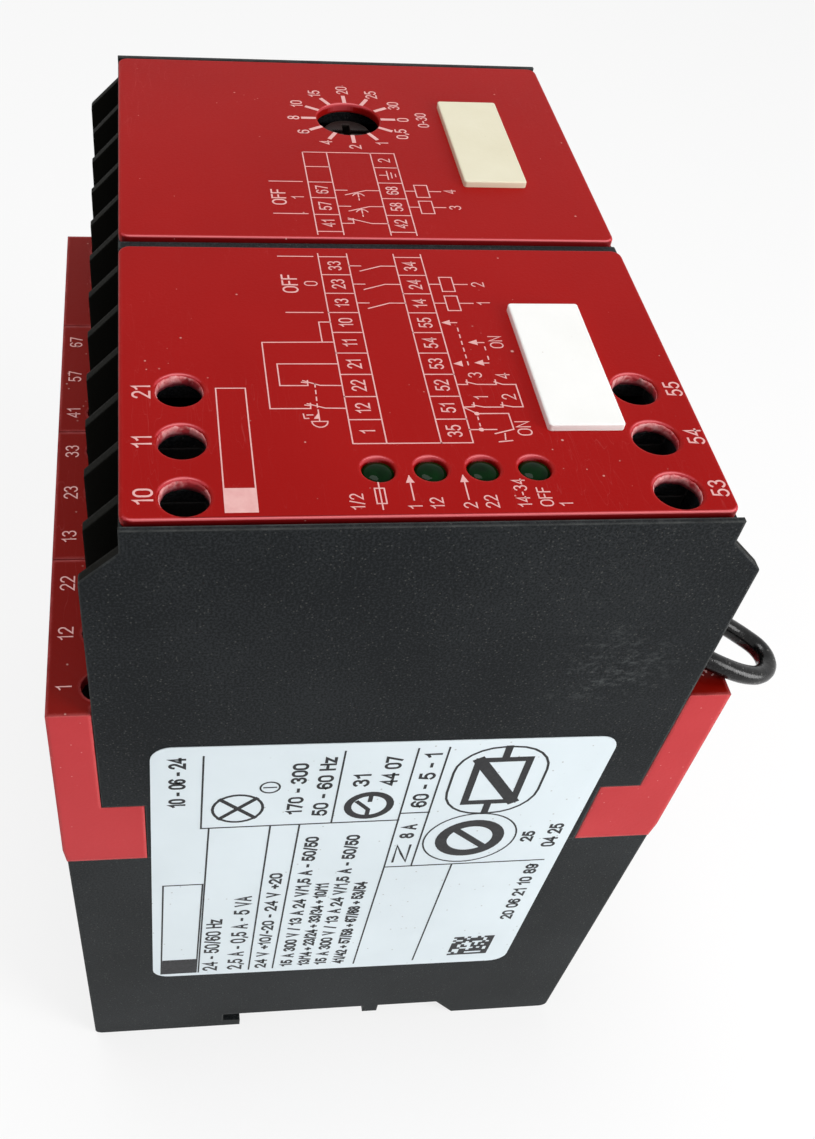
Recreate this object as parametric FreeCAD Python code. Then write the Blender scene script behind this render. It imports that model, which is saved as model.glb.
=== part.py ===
import FreeCAD, Part
import math
import os

# Safety relay with a delayed output, 90 mm wide, for a 35 mm top-hat rail.
# X runs across the poles (left to right when the front is read), Y is up on
# the wall, Z points out of the front. The origin is the middle of the back.

# ---------------------------------------------------------------- case
pole_pitch = 7.5
poles_per_side = 12        # the poles set the width of the case
case_depth = 114.0         # back of the feet to the face of the front plates
base_height = 75.0         # rear pot, from lower to upper edge
base_depth = 56.5          # rear pot, back to the parting with the hood
base_wall = 1.8            # side walls of the rear pot
base_floor = 2.2           # plastic between the rail recess and the inside
base_edge_radius = 1.2     # long back edges of the pot
corner_post = 5.0          # square post under each corner of the main board

# ---------------------------------------------------------------- rail seat
rail_floor = 4.5           # depth of the recess that takes the rail
rail_upper_stop = 17.0     # end of the fixed undercut, above the middle
rail_lower_stop = 18.0     # end of the recess, below the middle
rail_lip_reach = 2.8       # how far the fixed lip hooks behind the rail
rail_lip_thickness = 1.8   # fixed lip, measured from the back
rail_ramp_run = 3.3        # slanted entry beside the lower foot
rail_pad_center = 7.1      # pad that steadies the rail, below the middle
rail_pad_width = 2.4
rail_pad_height = 2.2
rail_pad_length = 3.0      # along the rail, one pad at each end of the case

# ---------------------------------------------------------------- rail latch
latch_width = 20.0
latch_thickness = 2.8
latch_back_gap = 1.4       # back of the latch above the back of the case
latch_clearance = 0.15     # sliding gap on every side of the latch
latch_hook_reach = 1.7     # how far the hook stands behind the rail
latch_hook_thickness = 1.9
latch_travel = 3.0         # pulled down to free the rail
latch_slot_width = 5.0     # screwdriver slot in the outer end
latch_slot_depth = 1.6
latch_opening = 14.0       # width of the back opening that shows the latch
spring_window_width = 4.4
spring_window_margin = 3.2  # from the inner end of the latch to its window
spring_window_bar = 1.0     # solid bar between the window and the tool slot
spring_post_depth = 2.2     # fixed post at the outer end of the spring
spring_radius = 1.0         # to the middle of the wire
spring_wire = 0.45
spring_turns = 6
spring_corners = 10        # straight pieces that stand for one turn

# ---------------------------------------------------------------- poles
poles_per_cover = 3
inner_poles = 3            # front tier, from the left edge on
upper_outer_poles = 9      # rear tier, from the left edge on
lower_outer_poles = 11

# ---------------------------------------------------------------- hood
hood_wall = 1.8
number_strip = 4.85        # part of the covers' face outside the fins
fin_reach = 5.0            # fins beyond the wall behind the wire pockets
brow_overhang = 1.1        # front edge that carries the plates, beyond that wall
brow_depth = 3.0           # front edge, from the face of the plates back
fin_bevel = 3.7            # slanted shoulder of the fins, along the depth
fin_tip_radius = 0.8
fin_thickness = 1.2
fin_setback = 0.3          # inner fins stand this much inside the end walls
hood_end_wall = 1.1        # left and right walls, thin beside the pockets
deck_thickness = 1.6       # front wall of the hood, under the plates
rim_thickness = 0.55       # thin rim left and right of the plates
rim_drop = 0.2             # rim below the face of the plates
rib_width = 1.4            # rib between the two plates
rib_drop = 1.0             # rib below the face of the plates

# ---------------------------------------------------------------- covers
front_tier = 27.0          # from the face of the plates back to the covers' face
cover_heel = 12.3          # low part that reaches in under the hood's step
cover_overhang = 0.4       # covers beyond the rear pot, near the parting
cover_draft = 0.45         # drawn in from there to the face
cover_chamfer_drop = 2.8
cover_chamfer_step = 0.3
cover_wall = 1.3
cover_end_wall = 0.9
cover_gap = 0.1            # between neighbours, and to the hood

# ---------------------------------------------------------------- terminals
clamp_width = 5.0
clamp_length = 4.6         # along the wire
clamp_height = 8.6
clamp_mouth_width = 3.4
clamp_mouth_height = 5.2
clamp_floor = 1.0
tail_width = 2.4
tail_thickness = 0.8
chamber_clearance = 0.1
screw_head_radius = 1.8
screw_head_height = 2.4
screw_shank_radius = 1.5
screw_reach = 3.0          # shank below the top wall of the clamp
screw_slot = 0.7
screw_slot_depth = 0.9
hole_sides = 20            # small round parts that repeat are prisms
head_sides = 16
shank_sides = 8
wire_sides = 6
thread_clearance = 0.05
outer_axis_inset = 5.55    # screws of the rear tier, from the edge of the covers
outer_clamp_drop = 15.0    # lower side of those clamps, from the covers' face
inner_axis_inset = 2.7     # screws of the front tier, from the hood's wall
inner_clamp_rise = 2.3     # lower side of those clamps, above the logic board
driver_hole_radius = 1.95  # rear tier, in the covers and blocks
entry_width = 5.4          # wire entries in the covers and the hood
entry_height = 6.0
block_wall = 1.1           # behind the clamps, and round the hollow foot
block_floor = 2.0          # under the clamps

# ---------------------------------------------------------------- plates
plate_thickness = 1.2
plate_corner_radius = 1.2
plate_edge_bevel = 0.4
plate_rib_gap = 0.2        # plates to the rib between them
plate_rim_gap = 0.5        # plates to the rims left and right
plate_end_gap = 0.1        # plates to the ends of the front edge
access_radius = 2.35       # screwdriver holes of the front tier
led_hole_radius = 1.6
led_inset = 7.15           # column of the four lamps, from the left side
led_top = 4.9              # highest lamp
led_pitch = 5.0
deck_window_margin = 0.4   # deck windows round the lamps and the selector
dial_inset = 16.4          # selector, from the right side
dial_y = -0.6
dial_radius = 4.0
tag_length = 20.0
tag_height = 7.7
tag_thickness = 1.2
tag_seat = 0.45
tag_rise = 6.5             # middle of the tags above the lower screws
tag_inset = 12.6           # outer end of each tag, from the side of the case
label_width = 53.8
label_length = 60.0
label_thickness = 0.12
label_radius = 2.4
label_back = 20.2          # back edge of the label above the back of the case
label_y = 0.4
label_tilt = 1.0

# ---------------------------------------------------------------- electronics
board_thickness = 1.6
board_gap = 0.3            # board edges to the walls round them
display_board_drop = 11.2  # lower side of that board, from the deck
logic_board_drop = 16.0    # lower side of that board, from the display board's
display_board_height = 30.0
display_board_margin = 4.0  # ends of that board to the sides of the case
hood_post = 4.0
led_post_gap = 8.8         # from the lamps to the first post of their board
relay_length = 40.0
relay_headroom = 1.5       # relays to the logic board
relay_gap = 2.0            # relays to each other and to the hood
relay_count = 4
link_thickness = 5.0
link_length = 34.0
link_gap = 2.4             # plug strip to the right wall of the hood
small_link_length = 20.0
small_link_x = 6.0
capacitor_radius = 6.3
capacitor_height = 25.0
capacitor_pitch = 17.0
capacitor_first_x = -30.0
capacitor_y = -15.0
capacitor_count = 2
choke_width = 18.0
choke_length = 16.0
choke_height = 11.0
choke_bevel = 0.8
choke_x = 26.0
choke_y = -14.0
fuse_size = 9.0
fuse_thickness = 3.0
fuse_leg = 2.0
fuse_x = -28.0
fuse_y = 16.0
chip_size = 12.0
chip_thickness = 2.2
chip_x = -8.0
chip_pitch = 24.0

# ---------------------------------------------------------------- lamps, dial
led_radius = 1.5
led_height = 6.0
led_bevel = 0.7            # edge of the lens
led_recess = 0.1           # top of the lens below the face of the plates
led_leg = 0.5
led_leg_gap = 1.6
switch_size = 10.0
switch_height = 5.4
rotor_shaft_radius = 1.6
rotor_clearance = 0.04
rotor_radius = 3.4
rotor_height = 3.6
rotor_recess = 1.7         # top of the rotor below the face of the plates
rotor_slot = 1.0
rotor_slot_depth = 1.4

# ---------------------------------------------------------------- jumper
wire_radius = 1.1
ferrule_radius = 1.45
ferrule_length = 3.4
ferrule_level = 2.4        # pin above the lower side of the clamp
pin_radius = 0.75
# route of the jumper from pole to pole, chosen by hand
jumper_route = [
    (-41.25, -29.2, 90.3),
    (-41.25, -32.6, 90.3),
    (-42.5, -36.0, 89.1),
    (-42.7, -39.4, 87.5),
    (-42.0, -42.2, 86.3),
    (-40.2, -44.1, 85.7),
    (-37.6, -44.1, 85.6),
    (-35.8, -42.0, 86.1),
    (-34.9, -39.2, 87.5),
    (-34.2, -36.2, 89.2),
    (-33.75, -32.6, 90.3),
    (-33.75, -29.2, 90.3),
]

# ---------------------------------------------------------------- derived
case_width = pole_pitch * poles_per_side
half_width = case_width / 2
base_half = base_height / 2
cover_back_half = base_half + cover_overhang
cover_front_half = cover_back_half - cover_draft
hood_half = cover_front_half - number_strip
neck_half = hood_half - fin_reach
brow_half = neck_half + brow_overhang
neck_inside = neck_half - hood_wall
hood_inside = half_width - hood_end_wall
plate_level = case_depth - plate_thickness       # face that the plates lie on
deck_back = plate_level - deck_thickness
brow_level = case_depth - brow_depth
shoulder_level = brow_level - fin_bevel
step_level = base_depth + cover_heel
cover_face = case_depth - front_tier
cover_width = pole_pitch * poles_per_cover
covers_per_side = poles_per_side // poles_per_cover
inside_floor = rail_floor + base_floor
main_board_top = base_depth                      # flush with the rim of the pot
main_board_level = main_board_top - board_thickness
display_board_level = deck_back - display_board_drop
display_board_top = display_board_level + board_thickness
display_board_width = case_width - 2 * display_board_margin
logic_board_level = display_board_level - logic_board_drop
logic_board_top = logic_board_level + board_thickness
outer_axis = cover_front_half - outer_axis_inset
outer_clamp_level = cover_face - outer_clamp_drop
inner_axis = neck_inside - inner_axis_inset
inner_clamp_level = logic_board_top + inner_clamp_rise
mouth_middle = clamp_floor + clamp_mouth_height / 2
block_width = 2 * pole_pitch + clamp_width
led_column = -half_width + led_inset
dial_x = half_width - dial_inset
tag_x = half_width - tag_inset - tag_length / 2
tag_y = tag_rise - inner_axis
link_x = hood_inside - link_gap - link_thickness / 2
relay_pitch = (link_x - link_thickness / 2 + hood_inside - relay_gap) / relay_count
relay_width = relay_pitch - relay_gap
relay_height = logic_board_level - main_board_top - relay_headroom
latch_top = latch_back_gap + latch_thickness
latch_inner_end = -rail_lower_stop
latch_outer_end = -base_half + latch_clearance

os.makedirs("parts", exist_ok=True)


# ---------------------------------------------------------------- helpers
def vec(x, y, z):
    return FreeCAD.Vector(x, y, z)


def block(x0, x1, y0, y1, z0, z1):
    low_y, high_y = min(y0, y1), max(y0, y1)
    return Part.makeBox(x1 - x0, high_y - low_y, z1 - z0, vec(x0, low_y, z0))


def rod(x, y, z0, z1, radius):
    return Part.makeCylinder(radius, z1 - z0, vec(x, y, z0))


def regular_outline(middle, heading, radius, sides):
    """Regular polygon about a point, square to a heading."""
    corners = []
    for step in range(sides):
        angle = 2 * math.pi * step / sides
        corners.append(vec(radius * math.cos(angle), radius * math.sin(angle), 0))
    outline = Part.makePolygon(corners + [corners[0]])
    outline.Placement = FreeCAD.Placement(middle, FreeCAD.Rotation(vec(0, 0, 1), heading))
    return outline


def stud(start, end, radius, sides):
    """Small round part that repeats, as a prism with so many sides."""
    return Part.Face(regular_outline(start, end - start, radius, sides)).extrude(end - start)


def prism(profile, x0, x1):
    """Closed outline in Y and Z, pulled along X."""
    points = [vec(x0, y, z) for y, z in profile]
    face = Part.Face(Part.makePolygon(points + [points[0]]))
    return face.extrude(vec(x1 - x0, 0, 0))


def flip(shape):
    """The same piece on the lower side."""
    return shape.mirror(vec(0, 0, 0), vec(0, 1, 0))


def side_of(shape, sign):
    return shape if sign > 0 else flip(shape)


def cut_all(body, tools):
    return body.cut(Part.makeCompound(tools))


def save(shape, name):
    clean = shape.removeSplitter()
    clean.exportStep("parts/" + name + ".step")
    print(name, len(clean.Solids), round(clean.Volume, 1), clean.isValid())


def edges_where(shape, test):
    return [edge for edge in shape.Edges if test(edge)]


def edge_along_x_at(edge, y, z):
    box = edge.BoundBox
    long_enough = box.XLength > 1 and box.YLength < 1e-6 and box.ZLength < 1e-6
    return long_enough and abs(box.YMin - y) < 1e-4 and abs(box.ZMin - z) < 1e-4


def pole_x(index):
    return -half_width + pole_pitch * (index + 0.5)


SIDES = (("upper", 1), ("lower", -1))
outer_count = {"upper": upper_outer_poles, "lower": lower_outer_poles}


# ---------------------------------------------------------------- rear pot
def latch_channel():
    """Slot for the latch in the lower foot, and the opening that shows it."""
    gap = latch_clearance
    half = latch_width / 2 + gap
    slot = block(-half, half, -base_half - 1, latch_inner_end + 1,
                 latch_back_gap - gap, latch_top + gap)
    window = block(-latch_opening / 2, latch_opening / 2, -base_half - 1,
                   latch_inner_end + rail_ramp_run, -1, latch_back_gap)
    return slot.fuse(window)


def spring_post():
    """Fixed post that the outer end of the latch spring leans on."""
    outer = window_outer_end() + latch_travel + latch_clearance
    half = spring_window_width / 2 - latch_clearance
    return block(-half, half, outer, outer + spring_post_depth,
                 latch_back_gap - latch_clearance, latch_top + latch_clearance)


def window_inner_end():
    return latch_inner_end - spring_window_margin


def tool_slot_ends():
    return latch_outer_end + latch_slot_depth, latch_outer_end + 2 * latch_slot_depth


def window_outer_end():
    return tool_slot_ends()[1] + spring_window_bar


def make_base_housing():
    body = block(-half_width, half_width, -base_half, base_half, 0, base_depth)
    back_edges = edges_where(body, lambda e: edge_along_x_at(e, base_half, 0)
                             or edge_along_x_at(e, -base_half, 0))
    body = body.makeFillet(base_edge_radius, back_edges)
    recess = prism([
        (rail_upper_stop - rail_lip_reach, -1),
        (rail_upper_stop - rail_lip_reach, rail_lip_thickness),
        (rail_upper_stop, rail_lip_thickness),
        (rail_upper_stop, rail_floor),
        (-rail_lower_stop, rail_floor),
        (-rail_lower_stop - rail_ramp_run, 0),
        (-rail_lower_stop - rail_ramp_run, -1),
    ], -half_width - 1, half_width + 1)
    inside_half = base_half - base_wall
    inside = block(-half_width + base_wall, half_width - base_wall,
                   -inside_half, inside_half, inside_floor, base_depth + 1)
    upper_foot = block(-half_width + base_wall, half_width - base_wall,
                       rail_upper_stop + base_wall, inside_half,
                       base_floor, inside_floor + 1)
    body = cut_all(body, [recess, inside, upper_foot, latch_channel()])
    body = body.fuse(spring_post())
    for side in (-1, 1):
        pad_x = side * (half_width - rail_pad_length / 2)
        pad = block(pad_x - rail_pad_length / 2, pad_x + rail_pad_length / 2,
                    -rail_pad_center - rail_pad_width / 2,
                    -rail_pad_center + rail_pad_width / 2,
                    rail_floor - rail_pad_height, rail_floor)
        body = body.fuse(pad)
        for end in (-1, 1):
            post_x = side * (half_width - base_wall - corner_post / 2)
            post_y = end * (inside_half - corner_post / 2)
            post = block(post_x - corner_post / 2, post_x + corner_post / 2,
                         post_y - corner_post / 2, post_y + corner_post / 2,
                         inside_floor - base_floor / 2, main_board_level)
            body = body.fuse(post)
    return body


def make_rail_latch():
    """Flat slide with a hook on its inner end and a window for its spring."""
    half = latch_width / 2
    body = block(-half, half, latch_outer_end, latch_inner_end,
                 latch_back_gap, latch_top)
    hook_top = latch_back_gap + latch_hook_thickness
    hook = prism([
        (latch_inner_end - 1, latch_back_gap),
        (latch_inner_end, latch_back_gap),
        (latch_inner_end + latch_hook_reach, hook_top - latch_hook_thickness / 3),
        (latch_inner_end + latch_hook_reach, hook_top),
        (latch_inner_end - 1, hook_top),
    ], -half, half)
    window = block(-spring_window_width / 2, spring_window_width / 2,
                   window_outer_end(), window_inner_end(), 0, latch_top + 1)
    tool_slot = block(-latch_slot_width / 2, latch_slot_width / 2, *tool_slot_ends(),
                      0, latch_top + 1)
    return cut_all(body.fuse(hook), [window, tool_slot])


def make_latch_spring():
    """Compression spring between the fixed post and the latch."""
    start = window_outer_end() + latch_travel + latch_clearance + spring_post_depth
    run = window_inner_end() - start - spring_wire
    level = latch_back_gap + latch_thickness / 2
    steps = spring_turns * spring_corners
    points = []
    for step in range(steps + 1):
        angle = 2 * math.pi * step / spring_corners
        points.append(vec(spring_radius * math.cos(angle),
                          start + spring_wire / 2 + run * step / steps,
                          level + spring_radius * math.sin(angle)))
    profile = regular_outline(points[0], points[1] - points[0], spring_wire / 2, wire_sides)
    right_corner = 1
    return Part.makePolygon(points).makePipeShell([profile], True, False, right_corner)


# ---------------------------------------------------------------- hood
def fin_profile(inset, back_level):
    """Outline of one fin on the upper side, from the neck outwards."""
    tip = hood_half - inset
    shoulder = shoulder_level - inset
    return [
        (neck_half - hood_wall / 2, back_level),
        (tip, back_level),
        (tip, shoulder),
        (brow_half, brow_level - inset),
        (neck_half - hood_wall / 2, brow_level - inset),
    ]


def end_fin(side, sign):
    """End wall beside the wire pockets, with its tip rounded off."""
    x_outer = side * half_width
    x_inner = side * (half_width - hood_end_wall)
    fin = prism(fin_profile(0, step_level), min(x_outer, x_inner), max(x_outer, x_inner))
    tips = edges_where(fin, lambda e: edge_along_x_at(e, hood_half, shoulder_level))
    return side_of(fin.makeFillet(fin_tip_radius, tips), sign)


def inner_fin(index, sign):
    middle = -half_width + pole_pitch * index
    fin = prism(fin_profile(fin_setback, cover_face + cover_gap),
                middle - fin_thickness / 2, middle + fin_thickness / 2)
    return side_of(fin, sign)


def inner_entry(index, sign):
    """Way through the hood's wall to a clamp of the front tier."""
    x = pole_x(index)
    level = inner_clamp_level + mouth_middle
    return block(x - entry_width / 2, x + entry_width / 2,
                 sign * (neck_inside - 1), sign * (neck_half + 1),
                 level - entry_height / 2, level + entry_height / 2)


def led_places():
    return [(led_column, led_top - led_pitch * i) for i in range(4)]


def access_places():
    return [(pole_x(i), sign * inner_axis) for i in range(inner_poles) for _, sign in SIDES]


def deck_windows():
    """Square windows in the deck, behind the round holes of the plates."""
    z0 = deck_back - 1
    z1 = plate_level + 1
    half = clamp_width / 2 + chamber_clearance
    windows = [block(x - half, x + half, y - half, y + half, z0, z1) for x, y in access_places()]
    half = led_hole_radius + deck_window_margin
    bottom = led_top - 3 * led_pitch
    windows.append(block(led_column - half, led_column + half, bottom - half, led_top + half,
                         z0, z1))
    half = dial_radius + deck_window_margin
    windows.append(block(dial_x - half, dial_x + half, dial_y - half, dial_y + half, z0, z1))
    return windows


def board_posts():
    """Posts under the deck that hold the logic board and the display board."""
    posts = []
    post = hood_post / 2
    right_x = hood_inside - hood_post
    left_x = pole_x(inner_poles - 1) + pole_pitch + hood_post / 2
    side_y = neck_inside - post
    for x in (left_x, right_x):
        for sign in (1, -1):
            posts.append(block(x - post, x + post, sign * side_y - post,
                               sign * side_y + post, logic_board_top, deck_back + 0.5))
    edge_y = display_board_height / 2 - post
    for x in (led_column + led_post_gap, display_board_width / 2 - post):
        for sign in (1, -1):
            posts.append(block(x - post, x + post, sign * edge_y - post,
                               sign * edge_y + post, display_board_top, deck_back + 0.5))
    return posts


def make_hood():
    shell = block(-half_width, half_width, -neck_half, neck_half, base_depth, brow_level)
    brow = prism([
        (-brow_half, brow_level), (-neck_half, brow_level - (brow_half - neck_half)),
        (neck_half, brow_level - (brow_half - neck_half)), (brow_half, brow_level),
        (brow_half, plate_level), (-brow_half, plate_level),
    ], -half_width, half_width)
    body = shell.fuse(brow)
    inside = block(-hood_inside, hood_inside, -neck_inside, neck_inside,
                   base_depth - 1, deck_back)
    body = body.cut(inside)
    rim_top = case_depth - rim_drop
    additions = [block(-rib_width / 2, rib_width / 2, -brow_half, brow_half,
                       plate_level - 0.5, case_depth - rib_drop)]
    for side in (-1, 1):
        outer_x = side * half_width
        inner_x = side * (half_width - rim_thickness)
        additions.append(block(min(outer_x, inner_x), max(outer_x, inner_x),
                               -brow_half, brow_half, plate_level - 0.5, rim_top))
        additions += [end_fin(side, sign) for _, sign in SIDES]
    for index in range(1, poles_per_side):
        additions += [inner_fin(index, sign) for _, sign in SIDES]
    additions += board_posts()
    body = body.fuse(additions)
    cuts = deck_windows()
    cuts += [inner_entry(i, sign) for i in range(inner_poles) for _, sign in SIDES]
    return cut_all(body, cuts)


# ---------------------------------------------------------------- covers
def cover_x(index):
    low = -half_width + cover_width * index
    first_gap = cover_gap if index > 0 else 0
    last_gap = cover_gap if index < covers_per_side - 1 else 0
    return low + first_gap, low + cover_width - last_gap


def make_terminal_cover(index):
    """Red cover over three poles: a thin shell open to the back and the hood."""
    x0, x1 = cover_x(index)
    inner_y = neck_half + cover_gap
    outside = [
        (inner_y, base_depth),
        (cover_back_half - cover_chamfer_step, base_depth),
        (cover_back_half, base_depth + cover_chamfer_drop),
        (cover_front_half, cover_face),
        (inner_y, cover_face),
    ]
    inside = [
        (inner_y - 1, base_depth - 1),
        (cover_back_half - cover_wall, base_depth - 1),
        (cover_back_half - cover_wall, base_depth + cover_chamfer_drop),
        (cover_front_half - cover_wall, cover_face - cover_wall),
        (inner_y - 1, cover_face - cover_wall),
    ]
    shell = prism(outside, x0, x1)
    cuts = [prism(inside, x0 + cover_end_wall, x1 - cover_end_wall)]
    for side in (-1, 1):
        relief_outer = side * (half_width + 1)
        relief_inner = side * (half_width - hood_end_wall - cover_gap)
        cuts.append(block(min(relief_outer, relief_inner), max(relief_outer, relief_inner),
                          0, hood_half + cover_gap, step_level - cover_gap, cover_face + 1))
    level = outer_clamp_level + mouth_middle
    for pole in range(index * poles_per_cover, (index + 1) * poles_per_cover):
        x = pole_x(pole)
        cuts.append(stud(vec(x, outer_axis, cover_face - cover_wall - 1),
                         vec(x, outer_axis, cover_face + 1), driver_hole_radius, hole_sides))
        cuts.append(block(x - entry_width / 2, x + entry_width / 2,
                          cover_front_half - cover_wall - 1, cover_back_half + 1,
                          level - entry_height / 2, level + entry_height / 2))
    return cut_all(shell, cuts)


# ---------------------------------------------------------------- terminals
def make_clamp(x, axis_y, level, tail_level):
    """Brass cage with a mouth for the wire, and a tail down to its board."""
    half_x = clamp_width / 2
    half_y = clamp_length / 2
    cage = block(x - half_x, x + half_x, axis_y - half_y, axis_y + half_y,
                 level, level + clamp_height)
    mouth = block(x - clamp_mouth_width / 2, x + clamp_mouth_width / 2,
                  axis_y - half_y - 1, axis_y + half_y + 1,
                  level + clamp_floor, level + clamp_floor + clamp_mouth_height)
    thread = stud(vec(x, axis_y, level + clamp_floor + clamp_mouth_height - 0.5),
                  vec(x, axis_y, level + clamp_height + 1),
                  screw_shank_radius + thread_clearance, shank_sides)
    tail = block(x - tail_width / 2, x + tail_width / 2,
                 axis_y - half_y, axis_y - half_y + tail_thickness, tail_level, level + 0.4)
    return cut_all(cage, [mouth, thread]).fuse(tail)


def make_screw(x, axis_y, level):
    """Slotted clamp screw, seated on top of its cage."""
    top = level + clamp_height
    shank_end = level + clamp_floor + clamp_mouth_height - screw_reach
    shank = stud(vec(x, axis_y, shank_end), vec(x, axis_y, top), screw_shank_radius, shank_sides)
    head = stud(vec(x, axis_y, top), vec(x, axis_y, top + screw_head_height),
                screw_head_radius, head_sides)
    slot = block(x - screw_head_radius - 1, x + screw_head_radius + 1,
                 axis_y - screw_slot / 2, axis_y + screw_slot / 2,
                 top + screw_head_height - screw_slot_depth, top + screw_head_height + 1)
    return shank.fuse(head).cut(slot)


def make_terminal_block(x, axis_y, level, bottom, top, outer_y):
    """Insulating comb for three poles, open to the wires and the driver."""
    half_y = clamp_length / 2
    inner_y = axis_y - half_y - block_wall
    body = block(x - block_width / 2, x + block_width / 2, inner_y, outer_y, bottom, top)
    gap = chamber_clearance
    cuts = [block(x - block_width / 2 + block_wall, x + block_width / 2 - block_wall,
                  inner_y + block_wall, outer_y - block_wall,
                  bottom - 1, level - block_floor)]
    for step in (-1, 0, 1):
        pole = x + step * pole_pitch
        cuts.append(block(pole - clamp_width / 2 - gap, pole + clamp_width / 2 + gap,
                          axis_y - half_y - gap, outer_y + 1,
                          level - gap, top + 1))
        cuts.append(block(pole - tail_width / 2 - gap, pole + tail_width / 2 + gap,
                          axis_y - half_y - gap, axis_y - half_y + tail_thickness + gap,
                          bottom - 1, level))
    return cut_all(body, cuts)


def outer_block(index):
    middle = -half_width + cover_width * (index + 0.5)
    return make_terminal_block(middle, outer_axis, outer_clamp_level, main_board_top,
                               cover_face - cover_wall - cover_gap,
                               cover_front_half - cover_wall - cover_gap)


def inner_block():
    middle = pole_x(1)
    return make_terminal_block(middle, inner_axis, inner_clamp_level, logic_board_top,
                               deck_back - cover_gap, neck_inside - cover_gap)


# ---------------------------------------------------------------- front
def plate_x(side):
    inner = rib_width / 2 + plate_rib_gap
    outer = half_width - rim_thickness - plate_rim_gap
    return (inner, outer) if side > 0 else (-outer, -inner)


def vertical_edges(shape):
    def upright(edge):
        box = edge.BoundBox
        return box.ZLength > 0.5 and box.XLength < 1e-6 and box.YLength < 1e-6
    return edges_where(shape, upright)


def top_edges(shape, level):
    def on_top(edge):
        box = edge.BoundBox
        return abs(box.ZMin - level) < 1e-6 and abs(box.ZMax - level) < 1e-6
    return edges_where(shape, on_top)


def plate_holes():
    """Round holes for the screwdriver, the lamps and the time selector."""
    z0 = plate_level - 1
    z1 = case_depth + 1
    holes = [rod(x, y, z0, z1, led_hole_radius) for x, y in led_places()]
    holes += [rod(x, y, z0, z1, access_radius) for x, y in access_places()]
    holes.append(rod(dial_x, dial_y, z0, z1, dial_radius))
    return holes


def make_front_plate(side):
    """Moulded plate with rounded corners and a bevelled front edge."""
    x0, x1 = plate_x(side)
    end = brow_half - plate_end_gap
    plate = block(x0, x1, -end, end, plate_level, case_depth)
    plate = plate.makeFillet(plate_corner_radius, vertical_edges(plate))
    plate = plate.makeChamfer(plate_edge_bevel, top_edges(plate, case_depth))
    cuts = plate_holes()
    cuts.append(tag_block(side * tag_x, case_depth - tag_seat, case_depth + 1))
    return cut_all(plate, cuts)


def tag_block(x, z0, z1):
    return block(x - tag_length / 2, x + tag_length / 2,
                 tag_y - tag_height / 2, tag_y + tag_height / 2, z0, z1)


def make_rating_label():
    """Thin rounded label stuck to the left side, across the parting."""
    label = block(-half_width - label_thickness, -half_width,
                  label_y - label_width / 2, label_y + label_width / 2,
                  label_back, label_back + label_length)

    def along_x(edge):
        box = edge.BoundBox
        return box.YLength < 1e-6 and box.ZLength < 1e-6
    label = label.makeFillet(label_radius, edges_where(label, along_x))
    middle = vec(-half_width, label_y, label_back + label_length / 2)
    label.rotate(middle, vec(1, 0, 0), label_tilt)
    return label


def make_status_led(x, y):
    """Lamp with a bevelled lens and two legs down to its board."""
    top = case_depth - led_recess
    bottom = top - led_height
    lens = rod(x, y, bottom, top, led_radius)
    lamp = lens.makeChamfer(led_bevel, top_edges(lens, top))
    for side in (-1, 1):
        leg_x = x + side * led_leg_gap / 2
        leg = block(leg_x - led_leg / 2, leg_x + led_leg / 2, y - led_leg / 2,
                    y + led_leg / 2, display_board_top, bottom)
        lamp = lamp.fuse(leg)
    return lamp


def rotor_base():
    return case_depth - rotor_recess - rotor_height


def make_selector_body():
    """Rotary switch on the display board, with a bore for the rotor."""
    half = switch_size / 2
    top = display_board_top + switch_height
    body = block(dial_x - half, dial_x + half, dial_y - half, dial_y + half,
                 display_board_top, top)
    bore = rod(dial_x, dial_y, display_board_top + 1, top + 1,
               rotor_shaft_radius + rotor_clearance)
    return body.cut(bore)


def make_selector_rotor():
    """Rotor with a screwdriver slot and a cut that points at the scale."""
    base = rotor_base()
    top = base + rotor_height
    knob = rod(dial_x, dial_y, base, top, rotor_radius)
    knob = knob.makeChamfer(0.5, top_edges(knob, top))
    shaft = rod(dial_x, dial_y, display_board_top + 1.2, base + 0.5, rotor_shaft_radius)
    slot = block(dial_x - rotor_slot / 2, dial_x + rotor_slot / 2,
                 dial_y - rotor_radius - 1, dial_y + rotor_radius * 0.55,
                 top - rotor_slot_depth, top + 1)
    arms = block(dial_x - rotor_radius * 0.55, dial_x + rotor_radius * 0.55,
                 dial_y - rotor_slot / 2, dial_y + rotor_slot / 2,
                 top - rotor_slot_depth, top + 1)
    return knob.fuse(shaft).cut(slot.fuse(arms))


# ---------------------------------------------------------------- electronics
def make_main_board():
    half_x = half_width - base_wall - board_gap
    half_y = base_half - base_wall - board_gap
    return block(-half_x, half_x, -half_y, half_y, main_board_level, main_board_top)


def make_logic_board():
    half_x = hood_inside - board_gap
    half_y = neck_inside - board_gap
    return block(-half_x, half_x, -half_y, half_y, logic_board_level, logic_board_top)


def make_display_board():
    half_x = display_board_width / 2
    half_y = display_board_height / 2
    return block(-half_x, half_x, -half_y, half_y, display_board_level, display_board_top)


def make_relay(index):
    """Sealed relay with forcibly guided contacts, on the main board."""
    x = relay_gap - hood_inside + relay_width / 2 + relay_pitch * index
    can = block(x - relay_width / 2, x + relay_width / 2, -relay_length / 2,
                relay_length / 2, main_board_top, main_board_top + relay_height)
    return can.makeChamfer(0.8, top_edges(can, main_board_top + relay_height))


def make_board_link():
    return block(link_x - link_thickness / 2, link_x + link_thickness / 2,
                 -link_length / 2, link_length / 2, main_board_top, logic_board_level)


def make_display_link():
    return block(small_link_x - small_link_length / 2, small_link_x + small_link_length / 2,
                 display_board_height / 2 - link_thickness - 1,
                 display_board_height / 2 - 1, logic_board_top, display_board_level)


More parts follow.
